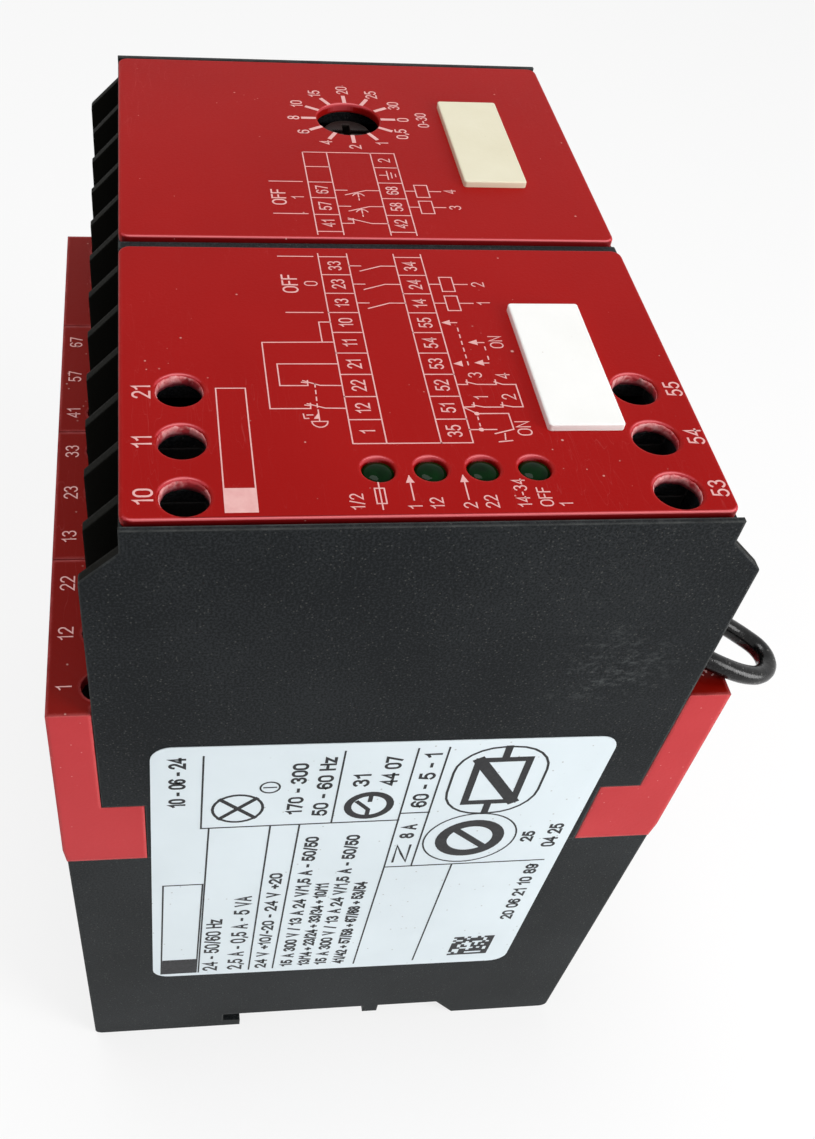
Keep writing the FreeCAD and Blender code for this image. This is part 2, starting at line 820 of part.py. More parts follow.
def make_capacitor(index):
    x = capacitor_first_x + capacitor_pitch * index
    return stud(vec(x, capacitor_y, main_board_level - capacitor_height),
                vec(x, capacitor_y, main_board_level), capacitor_radius, head_sides)


def make_choke():
    """Boxed line choke below the main board."""
    can = block(choke_x - choke_width / 2, choke_x + choke_width / 2,
                choke_y - choke_length / 2, choke_y + choke_length / 2,
                main_board_level - choke_height, main_board_level)
    return can.makeChamfer(choke_bevel, top_edges(can, main_board_level - choke_height))


def make_fuse():
    """Flat resettable fuse on two legs."""
    body_top = main_board_level - fuse_leg
    fuse = block(fuse_x - fuse_size / 2, fuse_x + fuse_size / 2,
                 fuse_y - fuse_thickness / 2, fuse_y + fuse_thickness / 2,
                 body_top - fuse_size, body_top)
    legs = block(fuse_x - fuse_size / 4, fuse_x + fuse_size / 4,
                 fuse_y - led_leg / 2, fuse_y + led_leg / 2, body_top, main_board_level)
    return fuse.fuse(legs)


def make_controller(index):
    x = chip_x + chip_pitch * (index - 0.5)
    return block(x - chip_size / 2, x + chip_size / 2, -chip_size / 2, chip_size / 2,
                 logic_board_top, logic_board_top + chip_thickness)


# ---------------------------------------------------------------- jumper
def rounded_path(points):
    """Straight runs joined by arcs that touch them."""
    edges = []
    start = vec(*points[0])
    radii = []
    for before, here, after in zip(points, points[1:], points[2:]):
        corner = vec(*here)
        back = vec(*before) - corner
        ahead = vec(*after) - corner
        shorter = min(back.Length, ahead.Length)
        back.normalize()
        ahead.normalize()
        turn = math.pi - back.getAngle(ahead)
        reach = 0.45 * shorter
        radii.append(reach / math.tan(turn / 2))
        arc_start = corner + back * reach
        arc_end = corner + ahead * reach
        bisector = back + ahead
        bisector.normalize()
        centre_distance = math.hypot(reach, radii[-1])
        arc_middle = corner + bisector * (centre_distance - radii[-1])
        edges.append(Part.LineSegment(start, arc_start).toShape())
        edges.append(Part.Arc(arc_start, arc_middle, arc_end).toShape())
        start = arc_end
    edges.append(Part.LineSegment(start, vec(*points[-1])).toShape())
    return Part.Wire(edges), radii


def make_jumper_wire():
    path, radii = rounded_path(jumper_route)
    first = vec(*jumper_route[0])
    heading = vec(*jumper_route[1]) - first
    profile = regular_outline(first, heading, wire_radius, shank_sides)
    tube = path.makePipeShell([profile], True, True)
    section = Part.Face(profile).Area
    print("jumper length", round(path.Length, 2), "radii", [round(r, 2) for r in radii])
    print("jumper volume", round(tube.Volume, 2), "against", round(section * path.Length, 2))
    return tube


def make_ferrules():
    """Crimped ferrules on both ends of the jumper, with pins in the clamps."""
    level = inner_clamp_level + ferrule_level
    ferrules = []
    for pole in (0, 1):
        x = pole_x(pole)
        outer = -neck_inside - ferrule_length
        sleeve = stud(vec(x, -neck_inside, level), vec(x, outer, level), ferrule_radius,
                      head_sides)
        pin = stud(vec(x, -inner_axis, level), vec(x, -neck_inside, level), pin_radius,
                   shank_sides)
        ferrules.append(sleeve.fuse(pin))
    return Part.makeCompound(ferrules)


# ---------------------------------------------------------------- writing out
save(make_base_housing(), "base_housing")
save(make_hood(), "hood")
save(make_rail_latch(), "rail_latch")
save(make_latch_spring(), "latch_spring")
for side_name, sign in SIDES:
    for cover in range(covers_per_side):
        name = side_name + "_terminal_cover_" + str(cover + 1)
        save(side_of(make_terminal_cover(cover), sign), name)
    outer_clamps = []
    outer_screws = []
    for pole in range(outer_count[side_name]):
        outer_clamps.append(make_clamp(pole_x(pole), outer_axis, outer_clamp_level,
                                       main_board_top))
        outer_screws.append(make_screw(pole_x(pole), outer_axis, outer_clamp_level))
    blocks_needed = math.ceil(outer_count[side_name] / poles_per_cover)
    for cover in range(blocks_needed):
        name = side_name + "_terminal_block_" + str(cover + 1)
        save(side_of(outer_block(cover), sign), name)
    inner_clamps = []
    inner_screws = []
    for pole in range(inner_poles):
        inner_clamps.append(make_clamp(pole_x(pole), inner_axis, inner_clamp_level,
                                       logic_board_top))
        inner_screws.append(make_screw(pole_x(pole), inner_axis, inner_clamp_level))
    save(side_of(inner_block(), sign), side_name + "_front_terminal_block")
    save(side_of(Part.makeCompound(outer_clamps), sign), side_name + "_rear_clamps")
    save(side_of(Part.makeCompound(outer_screws), sign), side_name + "_rear_screws")
    save(side_of(Part.makeCompound(inner_clamps), sign), side_name + "_front_clamps")
    save(side_of(Part.makeCompound(inner_screws), sign), side_name + "_front_screws")
for side_name, side in (("left", -1), ("right", 1)):
    save(make_front_plate(side), "front_plate_" + side_name)
    tag_low = case_depth - tag_seat
    save(tag_block(side * tag_x, tag_low, tag_low + tag_thickness), "marker_tag_" + side_name)
save(make_rating_label(), "rating_label")
for number, place in enumerate(led_places()):
    save(make_status_led(*place), "status_led_" + str(number + 1))
save(make_selector_body(), "time_selector_body")
save(make_selector_rotor(), "time_selector_rotor")
save(make_main_board(), "main_board")
save(make_logic_board(), "logic_board")
save(make_display_board(), "display_board")
save(make_board_link(), "board_link")
save(make_display_link(), "display_link")
for number in range(relay_count):
    save(make_relay(number), "relay_" + str(number + 1))
capacitors = [make_capacitor(number) for number in range(capacitor_count)]
save(Part.makeCompound(capacitors), "capacitors")
save(make_choke(), "choke")
save(make_fuse(), "resettable_fuse")
for number in range(2):
    save(make_controller(number), "controller_" + str(number + 1))
save(make_jumper_wire(), "jumper_wire")
save(make_ferrules(), "jumper_ferrules")
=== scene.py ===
import math
import random

import bpy
from mathutils import Matrix, Vector


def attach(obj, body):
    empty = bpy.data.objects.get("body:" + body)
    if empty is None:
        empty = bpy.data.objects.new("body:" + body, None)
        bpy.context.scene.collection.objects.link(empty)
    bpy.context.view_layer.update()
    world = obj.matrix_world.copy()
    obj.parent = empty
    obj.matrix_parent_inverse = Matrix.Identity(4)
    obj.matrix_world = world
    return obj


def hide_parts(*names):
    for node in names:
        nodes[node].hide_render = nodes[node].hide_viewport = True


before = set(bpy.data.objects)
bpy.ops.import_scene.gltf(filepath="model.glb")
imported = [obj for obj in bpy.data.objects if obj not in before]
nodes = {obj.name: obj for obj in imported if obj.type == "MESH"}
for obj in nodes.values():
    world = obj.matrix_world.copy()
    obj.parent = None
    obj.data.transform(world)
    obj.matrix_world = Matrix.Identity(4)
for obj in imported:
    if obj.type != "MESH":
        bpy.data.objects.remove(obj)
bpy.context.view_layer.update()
MM = 0.001


# ---------------------------------------------------------------- case
# The pot and the hood are moulded in dark charcoal polycarbonate with a finely
# sparked surface. They snap together at half depth, and years in a cabinet
# have left dust in the grain and dull rubs on the long walls.
def paint(red, green, blue):
    """An sRGB colour of 0 to 255 as a linear colour for a socket."""
    linear = [((c / 255 + 0.055) / 1.055) ** 2.4 if c > 10.3 else c / 255 / 12.92
              for c in (red, green, blue)]
    return (*linear, 1)


def put(tree, socket, value):
    """Links an input to a socket, or sets it to a number, vector or colour."""
    if isinstance(value, bpy.types.NodeSocket):
        tree.links.new(value, socket)
    else:
        socket.default_value = value


def new_node(tree, kind, shows=None, **inputs):
    """A shader node with the named inputs put in; a group node shows a group."""
    node = tree.nodes.new("ShaderNode" + kind)
    if shows:
        node.node_tree = shows
    for label, value in inputs.items():
        put(tree, node.inputs[label.replace("_", " ")], value)
    return node


def math_node(tree, operation, *operands, clamp=False):
    """A Math node; each operand is a socket or a number."""
    node = tree.nodes.new("ShaderNodeMath")
    node.operation = operation
    node.use_clamp = clamp
    for socket, value in zip(node.inputs, operands):
        put(tree, socket, value)
    return node.outputs[0]


def times(tree, first, second, clamp=False):
    """The product of two numbers or sockets."""
    return math_node(tree, "MULTIPLY", first, second, clamp=clamp)


def dot(tree, first, second):
    """How far two directions agree: 1 where they are the same."""
    node = tree.nodes.new("ShaderNodeVectorMath")
    node.operation = "DOT_PRODUCT"
    for socket, value in zip(node.inputs, (first, second)):
        put(tree, socket, value)
    return node.outputs["Value"]


def band(tree, value, low, high, to_low=0, to_high=1):
    """Maps a value between low and high onto a clamped band."""
    return new_node(tree, "MapRange", Value=value, From_Min=low, From_Max=high,
                    To_Min=to_low, To_Max=to_high).outputs["Result"]


def object_place(tree, stretch=(1, 1, 1), turn=(0, 0, 0)):
    """Object coordinates in metres, stretched and turned for a texture."""
    source = new_node(tree, "TexCoord").outputs["Object"]
    return new_node(tree, "Mapping", Vector=source, Scale=stretch, Rotation=turn).outputs["Vector"]


def axes(tree, vector):
    """The X, Y and Z of a vector, by name."""
    return new_node(tree, "SeparateXYZ", Vector=vector).outputs


def noise(tree, scale, detail=3, rough=0.6, place=None):
    """Fractal noise over the piece or a given place; the scale is in waves a metre."""
    return new_node(tree, "TexNoise", Vector=place or object_place(tree), Scale=scale,
                    Detail=detail, Roughness=rough).outputs["Fac"]


def new_group(name, numbers, *results):
    """An empty node group: its tree, the sockets of its inputs, and its end."""
    group = bpy.data.node_groups.new(name, "ShaderNodeTree")
    for label, value in numbers.items():
        socket = group.interface.new_socket(label, in_out="INPUT", socket_type="NodeSocketFloat")
        socket.default_value = value
    for label in results:
        kind = "NodeSocketVector" if label == "Normal" else "NodeSocketFloat"
        group.interface.new_socket(label, in_out="OUTPUT", socket_type=kind)
    return group, group.nodes.new("NodeGroupInput").outputs, group.nodes.new("NodeGroupOutput")


# spark-eroded grain: fine height, and a slow tone that clouds the colour
grain, given, end = new_group("moulded_grain", {"Scale": 2600, "Cloud Scale": 60},
                              "Height", "Tone")
put(grain, end.inputs["Height"], noise(grain, given["Scale"]))
cloud = noise(grain, given["Cloud Scale"], 4, 0.55)
put(grain, end.inputs["Tone"], band(grain, cloud, 0.3, 0.7))

# dust: small pale specks, thicker in some patches than in others
dust, given, end = new_group(
    "dust_specks", {"Scale": 900, "Size": 0.16, "Patch Scale": 35, "Cover": 0.5}, "Mask")
cells = new_node(dust, "TexVoronoi", Vector=object_place(dust), Scale=given["Scale"]).outputs
picks = new_node(dust, "SeparateColor", Color=cells["Color"]).outputs
size = times(dust, picks["Red"], given["Size"])
spot = band(dust, math_node(dust, "SUBTRACT", size, cells["Distance"]), 0, 0.03)
patch = noise(dust, given["Patch Scale"])
limit = math_node(dust, "SUBTRACT", 1, given["Cover"])
lucky = times(dust, patch, math_node(dust, "ADD", picks["Green"], 0.5))
chosen = band(dust, lucky, limit, math_node(dust, "ADD", limit, 0.08))
put(dust, end.inputs["Mask"], times(dust, spot, chosen, clamp=True))

# rubs: long faint scratches in two directions, only where parts slide past
rubs, given, end = new_group("rub_marks", {"Scale": 45, "Sharpness": 0.035, "Cover": 0.45}, "Mask")
marks = []
for turn in ((0.35, 0.2, 0.6), (-0.5, 0.9, -0.4)):
    lane = noise(rubs, given["Scale"], 2, 0.5, object_place(rubs, (1, 9, 9), turn))
    off = math_node(rubs, "ABSOLUTE", math_node(rubs, "SUBTRACT", lane, 0.5))
    marks.append(band(rubs, math_node(rubs, "DIVIDE", off, given["Sharpness"]), 0.12, 0))
limit = math_node(rubs, "SUBTRACT", 1, given["Cover"])
worn = band(rubs, noise(rubs, 28), limit, math_node(rubs, "ADD", limit, 0.15))
put(rubs, end.inputs["Mask"], times(rubs, math_node(rubs, "MAXIMUM", *marks), worn, clamp=True))

# edges: where the surface turns sharply, broken up by noise; the mask paints worn edges on the
# dark parts and painted highlights on the red plates and covers
edges, given, end = new_group(
    "edge_wear_and_highlight", {"Radius": 0.0004, "Break Scale": 300, "Amount": 0.5}, "Mask", "Normal")
soft = new_node(edges, "Bevel", Radius=given["Radius"])
soft.samples = 4
agree = dot(edges, soft.outputs["Normal"], new_node(edges, "NewGeometry").outputs["Normal"])
kept = band(edges, noise(edges, given["Break Scale"]), 0.35, 0.65, 0.35, 1)
bent = times(edges, band(edges, agree, 0.985, 0.80), kept)
put(edges, end.inputs["Mask"], times(edges, bent, given["Amount"], clamp=True))
put(edges, end.inputs["Normal"], soft.outputs["Normal"])


def new_material(name):
    """A material with its tree."""
    material = bpy.data.materials.new(name)
    material.use_nodes = True
    return material, material.node_tree


def place_group(tree, group, **numbers):
    """The outputs of a node group, with its inputs set by name."""
    return new_node(tree, "Group", group, **numbers).outputs


def mix(tree, amount, first, second):
    """Mixes two colours, each a socket or an sRGB triple, by a mask."""
    node = tree.nodes.new("ShaderNodeMix")
    node.data_type = "RGBA"
    for label, value in (("Factor_Float", amount), ("A_Color", first), ("B_Color", second)):
        socket = next(s for s in node.inputs if s.identifier == label)
        put(tree, socket, paint(*value) if isinstance(value, tuple) else value)
    return next(s for s in node.outputs if s.identifier == "Result_Color")


def tint(tree, colour, mark, strength, second):
    """Lays a second colour over the first by a group's mask, at a strength."""
    return mix(tree, times(tree, mark["Mask"], strength), colour, second)


def finish(material, colour, relief, rough, depth=0, gloss=0.5, corner=None, raised=None):
    """Ends a material: its colour, a range of roughness that follows the relief,
    a bump of that or another relief over the corners' normal, and its gloss."""
    tree, shader = material.node_tree, material.node_tree.nodes["Principled BSDF"]
    put(tree, shader.inputs["Base Color"], colour)
    put(tree, shader.inputs["Roughness"], band(tree, relief, 0.3, 0.7, *rough))
    shader.inputs["Specular IOR Level"].default_value = gloss
    if depth:
        node = new_node(tree, "Bump", Strength=1, Distance=depth, Height=raised or relief)
        if corner:
            put(tree, node.inputs["Normal"], corner["Normal"])
        put(tree, shader.inputs["Normal"], node.outputs["Normal"])
    return material


def layered(name, base, cloudy, scales, marks, rough, depth, gloss=0.5):
    """Two cloudy colours under marks, each a group with its numbers, strength and
    colour. The scales are those of the grain and of its clouds."""
    material, tree = new_material(name)
    surface = place_group(tree, grain, Scale=scales[0], Cloud_Scale=scales[1])
    colour = mix(tree, surface["Tone"], base, cloudy)
    for group, numbers, strength, second in marks:
        colour = tint(tree, colour, place_group(tree, group, **numbers), strength, second)
    return finish(material, colour, surface["Height"], rough, depth, gloss)


def dress(material, *names):
    """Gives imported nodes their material."""
    for name in names:
        nodes[name].data.materials.clear()
        nodes[name].data.materials.append(material)


def moulded_plastic(name, base, cloudy, worn, dusty, dull=0.5, gloss=0.4, cover=0.5, rubbed=0.5):
    """Grained plastic with cloudy colour, pale rubs, worn edges and dust."""
    material, tree = new_material(name)
    surface = place_group(tree, grain, Scale=3800, Cloud_Scale=60)
    lines = place_group(tree, rubs, Scale=45, Cover=rubbed)
    corner = place_group(tree, edges, Radius=0.0004, Break_Scale=420, Amount=0.8)
    specks = place_group(tree, dust, Scale=2600, Size=0.26, Cover=cover)
    tone = math_node(tree, "ADD", band(tree, surface["Height"], 0.36, 0.66, -0.9, 1.1),
                     times(tree, surface["Tone"], 0.8))
    colour = tint(tree, mix(tree, tone, base, cloudy), lines, 0.2, worn)
    colour = tint(tree, mix(tree, corner["Mask"], colour, worn), specks, 0.16, dusty)
    return finish(material, colour, surface["Height"], (dull - 0.06, dull + 0.08), 0.00003,
                  gloss, corner)


hood_black = moulded_plastic("hood_black", (21, 24, 26), (39, 42, 44), (106, 108, 106),
                             (140, 140, 134), gloss=0.07, cover=0.58)
pot_black = moulded_plastic("pot_black", (25, 28, 29), (43, 46, 48), (100, 102, 101),
                            (140, 140, 134), gloss=0.08, cover=0.56)
tree = hood_black.node_tree
shader = tree.nodes["Principled BSDF"]
place = axes(tree, object_place(tree))
# painted shade darkens the cooling fins beyond the two rims, between the end walls, and dulls
# their gloss
RIM_Y, WALL_X = (0.0285, 0.0288), (0.0449, 0.0448)
beyond = band(tree, math_node(tree, "ABSOLUTE", place["Y"]), *RIM_Y)
between = band(tree, math_node(tree, "ABSOLUTE", place["X"]), *WALL_X)
fin_shade = times(tree, beyond, between)
colour = mix(tree, fin_shade, shader.inputs["Base Color"].links[0].from_socket, (20, 20, 17))
put(tree, shader.inputs["Specular IOR Level"], band(tree, fin_shade, 0, 1, 0.07, 0.02))
# and a patch of pale scuffs shows low on the left wall
SCUFF_Y, SCUFF_Z, SCUFF_RADIUS = -0.0222, 0.092, 0.008
streaks = noise(tree, 700, 5, 0.75, object_place(tree, (1, 1, 1.8), (-0.5, 0, 0)))
squares = []
for axis, operation, middle in (("Y", "ADD", -SCUFF_Y), ("Z", "SUBTRACT", SCUFF_Z)):
    off = math_node(tree, operation, place[axis], middle)
    off = math_node(tree, "DIVIDE", off, SCUFF_RADIUS)
    squares.append(times(tree, off, off))
near = band(tree, math_node(tree, "ADD", *squares), 1, 0.1)
scuff = times(tree, band(tree, streaks, 0.52, 0.75), near)
colour = mix(tree, times(tree, scuff, 0.55), colour, (104, 108, 108))
put(tree, shader.inputs["Base Color"], colour)
dress(hood_black, "hood")
dress(pot_black, "base_housing")


# ---------------------------------------------------------------- rail latch
# A black glass-filled slider with a hook for the lower rail flange and a slot
# for a screwdriver, pushed back by a small coil spring of bright steel wire.
latch_black = moulded_plastic("latch_black", (30, 31, 33), (36, 37, 39), (80, 80, 82),
                              (130, 130, 126), dull=0.42, gloss=0.12, rubbed=0.6)
dress(latch_black, "rail_latch")


def metal(name, base, dark, dull=0.3, streak=(1, 1, 12)):
    """Plated or bare metal with drawn streaks and darker patches."""
    material, tree = new_material(name)
    drawn = noise(tree, 900, place=object_place(tree, streak))
    colour = mix(tree, band(tree, noise(tree, 250), 0.35, 0.7), base, dark)
    corner = place_group(tree, edges, Radius=0.0002, Amount=0.3)
    tree.nodes["Principled BSDF"].inputs["Metallic"].default_value = 1
    return finish(material, colour, drawn, (dull - 0.08, dull + 0.12), 0.00001, corner=corner)


dress(metal("spring_steel", (178, 178, 176), (120, 118, 114), dull=0.28), "latch_spring")


# ---------------------------------------------------------------- terminals
# Grey insulating combs hold brass cages, each closed by a slotted zinc-plated screw. The screw
# heads show drawn streaks and darker patches.
# painted shade: the combs' grey is made darker to stand for the shade of the deep holes they are
# seen through
block_grey = moulded_plastic("block_grey", (40, 41, 42), (48, 49, 50), (84, 84, 84),
                             (120, 118, 112), gloss=0.1)
clamp_brass = metal("clamp_brass", (188, 158, 92), (140, 112, 62), dull=0.34)
screw_zinc = metal("screw_zinc", (150, 150, 148), (70, 68, 64), dull=0.38, streak=(9, 1, 1))
for side, blocks in (("upper", 3), ("lower", 4)):
    dress(block_grey, f"{side}_front_terminal_block",
          *(f"{side}_terminal_block_{k + 1}" for k in range(blocks)))
    dress(clamp_brass, f"{side}_rear_clamps", f"{side}_front_clamps")
    dress(screw_zinc, f"{side}_rear_screws", f"{side}_front_screws")


# ---------------------------------------------------------------- boards
# Three green glass-epoxy boards carry the sealed relays, a choke, a fuse, two
# capacitors and the twin controllers, joined by black plug strips.
def board_material():
    """Solder resist over a faint weave, with paler tracks under it."""
    material, tree = new_material("board_green")
    tracks = new_node(tree, "TexBrick", Vector=object_place(tree, (260, 260, 260)),
                      Scale=1, Mortar_Size=0.06).outputs["Fac"]
    weave = noise(tree, 1800, 2, 0.5)
    colour = mix(tree, tracks, (26, 88, 52), (44, 118, 70))
    colour = mix(tree, band(tree, weave, 0.45, 0.75, 0, 0.4), colour, (16, 60, 36))
    return finish(material, colour, weave, (0.24, 0.36), 0.00003, raised=tracks)


def small_part(name, base, cloudy, dull, gloss=0.5):
    """A bought component: one colour, faint clouding, soft edges."""
    material, tree = new_material(name)
    surface = place_group(tree, grain, Scale=1800, Cloud_Scale=180)
    corner = place_group(tree, edges, Radius=0.0003, Amount=0.2)
    return finish(material, mix(tree, surface["Tone"], base, cloudy), surface["Height"],
                  (dull - 0.04, dull + 0.06), 0.00001, gloss, corner)


dress(board_material(), "main_board", "logic_board", "display_board")
dress(small_part("relay_case", (200, 196, 184), (186, 181, 168), 0.4),
      *(f"relay_{k + 1}" for k in range(4)))
dress(small_part("link_black", (26, 26, 28), (34, 34, 36), 0.4), "board_link", "display_link")
dress(small_part("chip_black", (30, 30, 31), (38, 38, 39), 0.55), "controller_1", "controller_2")
dress(small_part("capacitor_sleeve", (30, 44, 92), (38, 54, 108), 0.3), "capacitors")
dress(small_part("choke_wire", (150, 84, 42), (118, 60, 28), 0.3), "choke")
dress(small_part("fuse_coat", (210, 160, 50), (188, 138, 38), 0.35), "resettable_fuse")


# ---------------------------------------------------------------- lamps
# Four 3 mm lamps with clear dark green domes stand in the left front plate on
# two tinned legs each. They are unlit, so the domes look nearly black.
LAMP_X, LAMP_RADIUS, LAMP_TOP, DOME_RISE = -37.6, 1.56, 113.9, 0.55
LAMP_ROWS = (4.7, -0.3, -5.3, -10.3)
LAMP_BACK, LEG_END, LEG_X, LEG_HALF = 6, 101.6, 0.8, 0.25


def mesh_piece(name, mesh, material):
    """Stands a finished mesh in the scene on the housing."""
    mesh.materials.clear()
    mesh.materials.append(material)
    piece = bpy.data.objects.new(name, mesh)
    bpy.context.scene.collection.objects.link(piece)
    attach(piece, "housing")
    return piece


def new_piece(name, points, faces, material, smooth=True):
    """A piece from points in millimetres and faces."""
    mesh = bpy.data.meshes.new(name)
    mesh.from_pydata([Vector(p) * MM for p in points], [], faces)
    mesh.validate()
    mesh.update()
    if smooth:
        mesh.shade_smooth()
    return mesh_piece(name, mesh, material)


def ring(centre, radius, sides):
    """Points round a full circle."""
    return [(centre[0] + radius * math.cos(math.tau * k / sides),
             centre[1] + radius * math.sin(math.tau * k / sides)) for k in range(sides)]


def turned(profile, centre, sides=32):
    """Points and faces of a profile of (radius, level) turned about +Z."""
    points, faces, rings = [], [], []
    for radius, level in profile:
        if radius == 0:
            rings.append([len(points)] * sides)
            points.append((*centre, level))
        else:
            rings.append(range(len(points), len(points) + sides))
            points += [(x, y, level) for x, y in ring(centre, radius, sides)]
    for low, high in zip(rings, rings[1:]):
        for k in range(sides):
            after = (k + 1) % sides
            face = list(dict.fromkeys((low[k], low[after], high[after], high[k])))
            if len(face) > 2:
                faces.append(face[::-1])
    return points, faces


def lens_material():
    """Dark green clear epoxy: gloss over a deep colour, with slight haze."""
    material, tree = new_material("led_lens")
    haze = noise(tree, 500)
    colour = mix(tree, band(tree, haze, 0.35, 0.7), (0, 25, 4), (1, 41, 9))
    return finish(material, colour, haze, (0.015, 0.04), 0.00006, 0.05)


led_lens = lens_material()
dome = [(0, LAMP_TOP)]
dome += [(LAMP_RADIUS * math.sin(a), LAMP_TOP - DOME_RISE + DOME_RISE * math.cos(a))
         for a in (math.radians(10 * k) for k in range(1, 10))]
dome += [(LAMP_RADIUS, LAMP_TOP - LAMP_BACK), (0, LAMP_TOP - LAMP_BACK)]
for index, y in enumerate(LAMP_ROWS):
    points, faces = turned(dome, (LAMP_X, y))
    for leg in (LAMP_X - LEG_X, LAMP_X + LEG_X):
        first = len(points)
        points += [(leg + dx * LEG_HALF, y + dy * LEG_HALF, z)
                   for z in (LEG_END, LAMP_TOP - LAMP_BACK)
                   for dx, dy in ((-1, -1), (1, -1), (1, 1), (-1, 1))]
        faces += [[first + k for k in side] for side in
                  ((3, 2, 1, 0), (4, 5, 6, 7), (0, 1, 5, 4), (1, 2, 6, 5), (2, 3, 7, 6),
                   (3, 0, 4, 7))]
    lamp = new_piece(f"lamp_{index + 1}", points, faces, led_lens)
    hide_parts(f"status_led_{index + 1}")


# ---------------------------------------------------------------- selector
# The delay is set with a screwdriver on a black rotor sunk below the right
# plate. It turns in a square switch that is soldered to the display board.
dress(small_part("selector_black", (20, 20, 20), (28, 28, 28), 0.45, 0.12), "time_selector_body")
dress(moulded_plastic("rotor_black", (24, 20, 19), (34, 27, 25), (66, 56, 52), (110, 98, 90),
                      dull=0.36, gloss=0.14, rubbed=0.6), "time_selector_rotor")


# ---------------------------------------------------------------- front plates
# Two red semi-matt plates are glued over the deck, with rounded edges. Their highlights, and the
# light and shade on their steep walls, are painted into the colour. Driver blades have torn pale
# flakes from the screw holes of the left plate, and both plates are finely scratched.
PLATE_LOW, PLATE_HIGH, PLATE_HALF = 112.8, 114, 28.6
PLATE_ENDS = {"left": (-43.95, -0.9), "right": (0.9, 43.95)}
PLATE_CORNER, PLATE_ROUND = 1.2, 0.32
ACCESS = [(x, y) for x in (-41, -33.5, -26) for y in (22.75, -23.35)]
ACCESS_RADIUS, LAMP_HOLE, DIAL, DIAL_HOLE = 2.35, 1.6, (28.6, -0.6), 4
RIB_HALF, RIB_TOP, RIB_SINK, RIB_CORNER, RIB_ROUND = 0.72, 113.5, 0.1, 0.2, 0.15
SEAM_EDGE, LEFT_END = (0.0030, 0.0028), (-0.04355, -0.0437)     # walls under painted shade, in metres
LIT_WALL_WAY, HIGHLIGHT_WAY = (-0.76, -0.10, 0.64), (-0.48, -0.06, 0.875)
RIM_SINK, RIM_RISE, RIM_THIN, RIM_THICK, CRUMB, TEAR_SEED = 0.42, 0.28, 0.02, 0.16, 0.08, 11


def plate_material():
    """Semi-matt red with scratches, nicks and a little dust, painted highlights on the edges, and
    painted light and shade on the walls.
    """
    material, tree = new_material("plate_red")
    surface = place_group(tree, grain, Scale=3200, Cloud_Scale=40)
    lines = place_group(tree, rubs, Scale=60, Sharpness=0.02, Cover=0.5)
    corner = place_group(tree, edges, Radius=0.0005, Break_Scale=500, Amount=0.7)
    specks = place_group(tree, dust, Scale=800, Size=0.12, Cover=0.40)
    nicks = place_group(tree, dust, Scale=260, Size=0.07, Cover=0.42)
    normal = new_node(tree, "NewGeometry").outputs["True Normal"]
    place = axes(tree, object_place(tree))["X"]
    colour = mix(tree, surface["Tone"], (155, 12, 10), (163, 17, 15))
    colour = tint(tree, colour, lines, 0.18, (214, 110, 108))
    # painted highlight: the bent edges are painted pale pink
    colour = mix(tree, corner["Mask"], colour, (214, 88, 86))
    colour = tint(tree, colour, nicks, 0.7, (232, 190, 180))
    # painted light makes walls that face the lamp on the left paler, and painted shade darkens the
    # steep walls at the left end and at the seam
    wall = band(tree, dot(tree, normal, LIT_WALL_WAY), 0.68, 0.75)
    colour = mix(tree, wall, colour, (190, 62, 68))
    left_end = band(tree, place, *LEFT_END)
    seam = band(tree, math_node(tree, "ABSOLUTE", place), *SEAM_EDGE)
    steep = band(tree, axes(tree, normal)["X"], -0.62, -0.74)
    shade = times(tree, math_node(tree, "MAXIMUM", left_end, seam), steep)
    colour = mix(tree, shade, colour, (112, 10, 13))
    # a painted highlight along the upper part of the rounding
    edge_highlight = band(tree, dot(tree, normal, HIGHLIGHT_WAY), 0.935, 0.98)
    colour = mix(tree, edge_highlight, colour, (226, 118, 122))
    colour = tint(tree, colour, specks, 0.6, (226, 180, 170))
    return finish(material, colour, surface["Height"], (0.40, 0.50), 0.00002, 0.06)


def filled_outline(name, loops, low, high, edge=0):
    """A solid from closed loops of (x, y), the first outside and the rest holes."""
    curve = bpy.data.curves.new(name, "CURVE")
    curve.dimensions = "2D"
    curve.fill_mode = "BOTH"
    curve.extrude = ((high - low) / 2 - edge) * MM
    curve.bevel_depth = edge * MM
    curve.bevel_resolution = 4
    curve.offset = -edge * MM
    for loop in loops:
        spline = curve.splines.new("POLY")
        spline.points.add(len(loop) - 1)
        for point, (x, y) in zip(spline.points, loop):
            point.co = (x * MM, y * MM, 0, 1)
        spline.use_cyclic_u = True
    holder = bpy.data.objects.new(name, curve)
    mesh = bpy.data.meshes.new_from_object(holder)
    bpy.data.objects.remove(holder)
    mesh.transform(Matrix.Translation((0, 0, (low + high) / 2 * MM)))
    mesh.name = name
    return mesh


def arc(cx, cy, rx, ry, start, end, steps):
    """Points along an arc, in degrees from +X."""
    return [(cx + rx * math.cos(math.radians(start + (end - start) * k / steps)),
             cy + ry * math.sin(math.radians(start + (end - start) * k / steps)))
            for k in range(steps + 1)]


def rounded(x0, x1, y0, y1, radius, steps=6):
    """A rectangle with rounded corners, anticlockwise."""
    return [point for cx, cy, start in (
        (x1 - radius, y1 - radius, 0), (x0 + radius, y1 - radius, 90),
        (x0 + radius, y0 + radius, 180), (x1 - radius, y0 + radius, 270))
        for point in arc(cx, cy, radius, radius, start, start + 90, steps)]


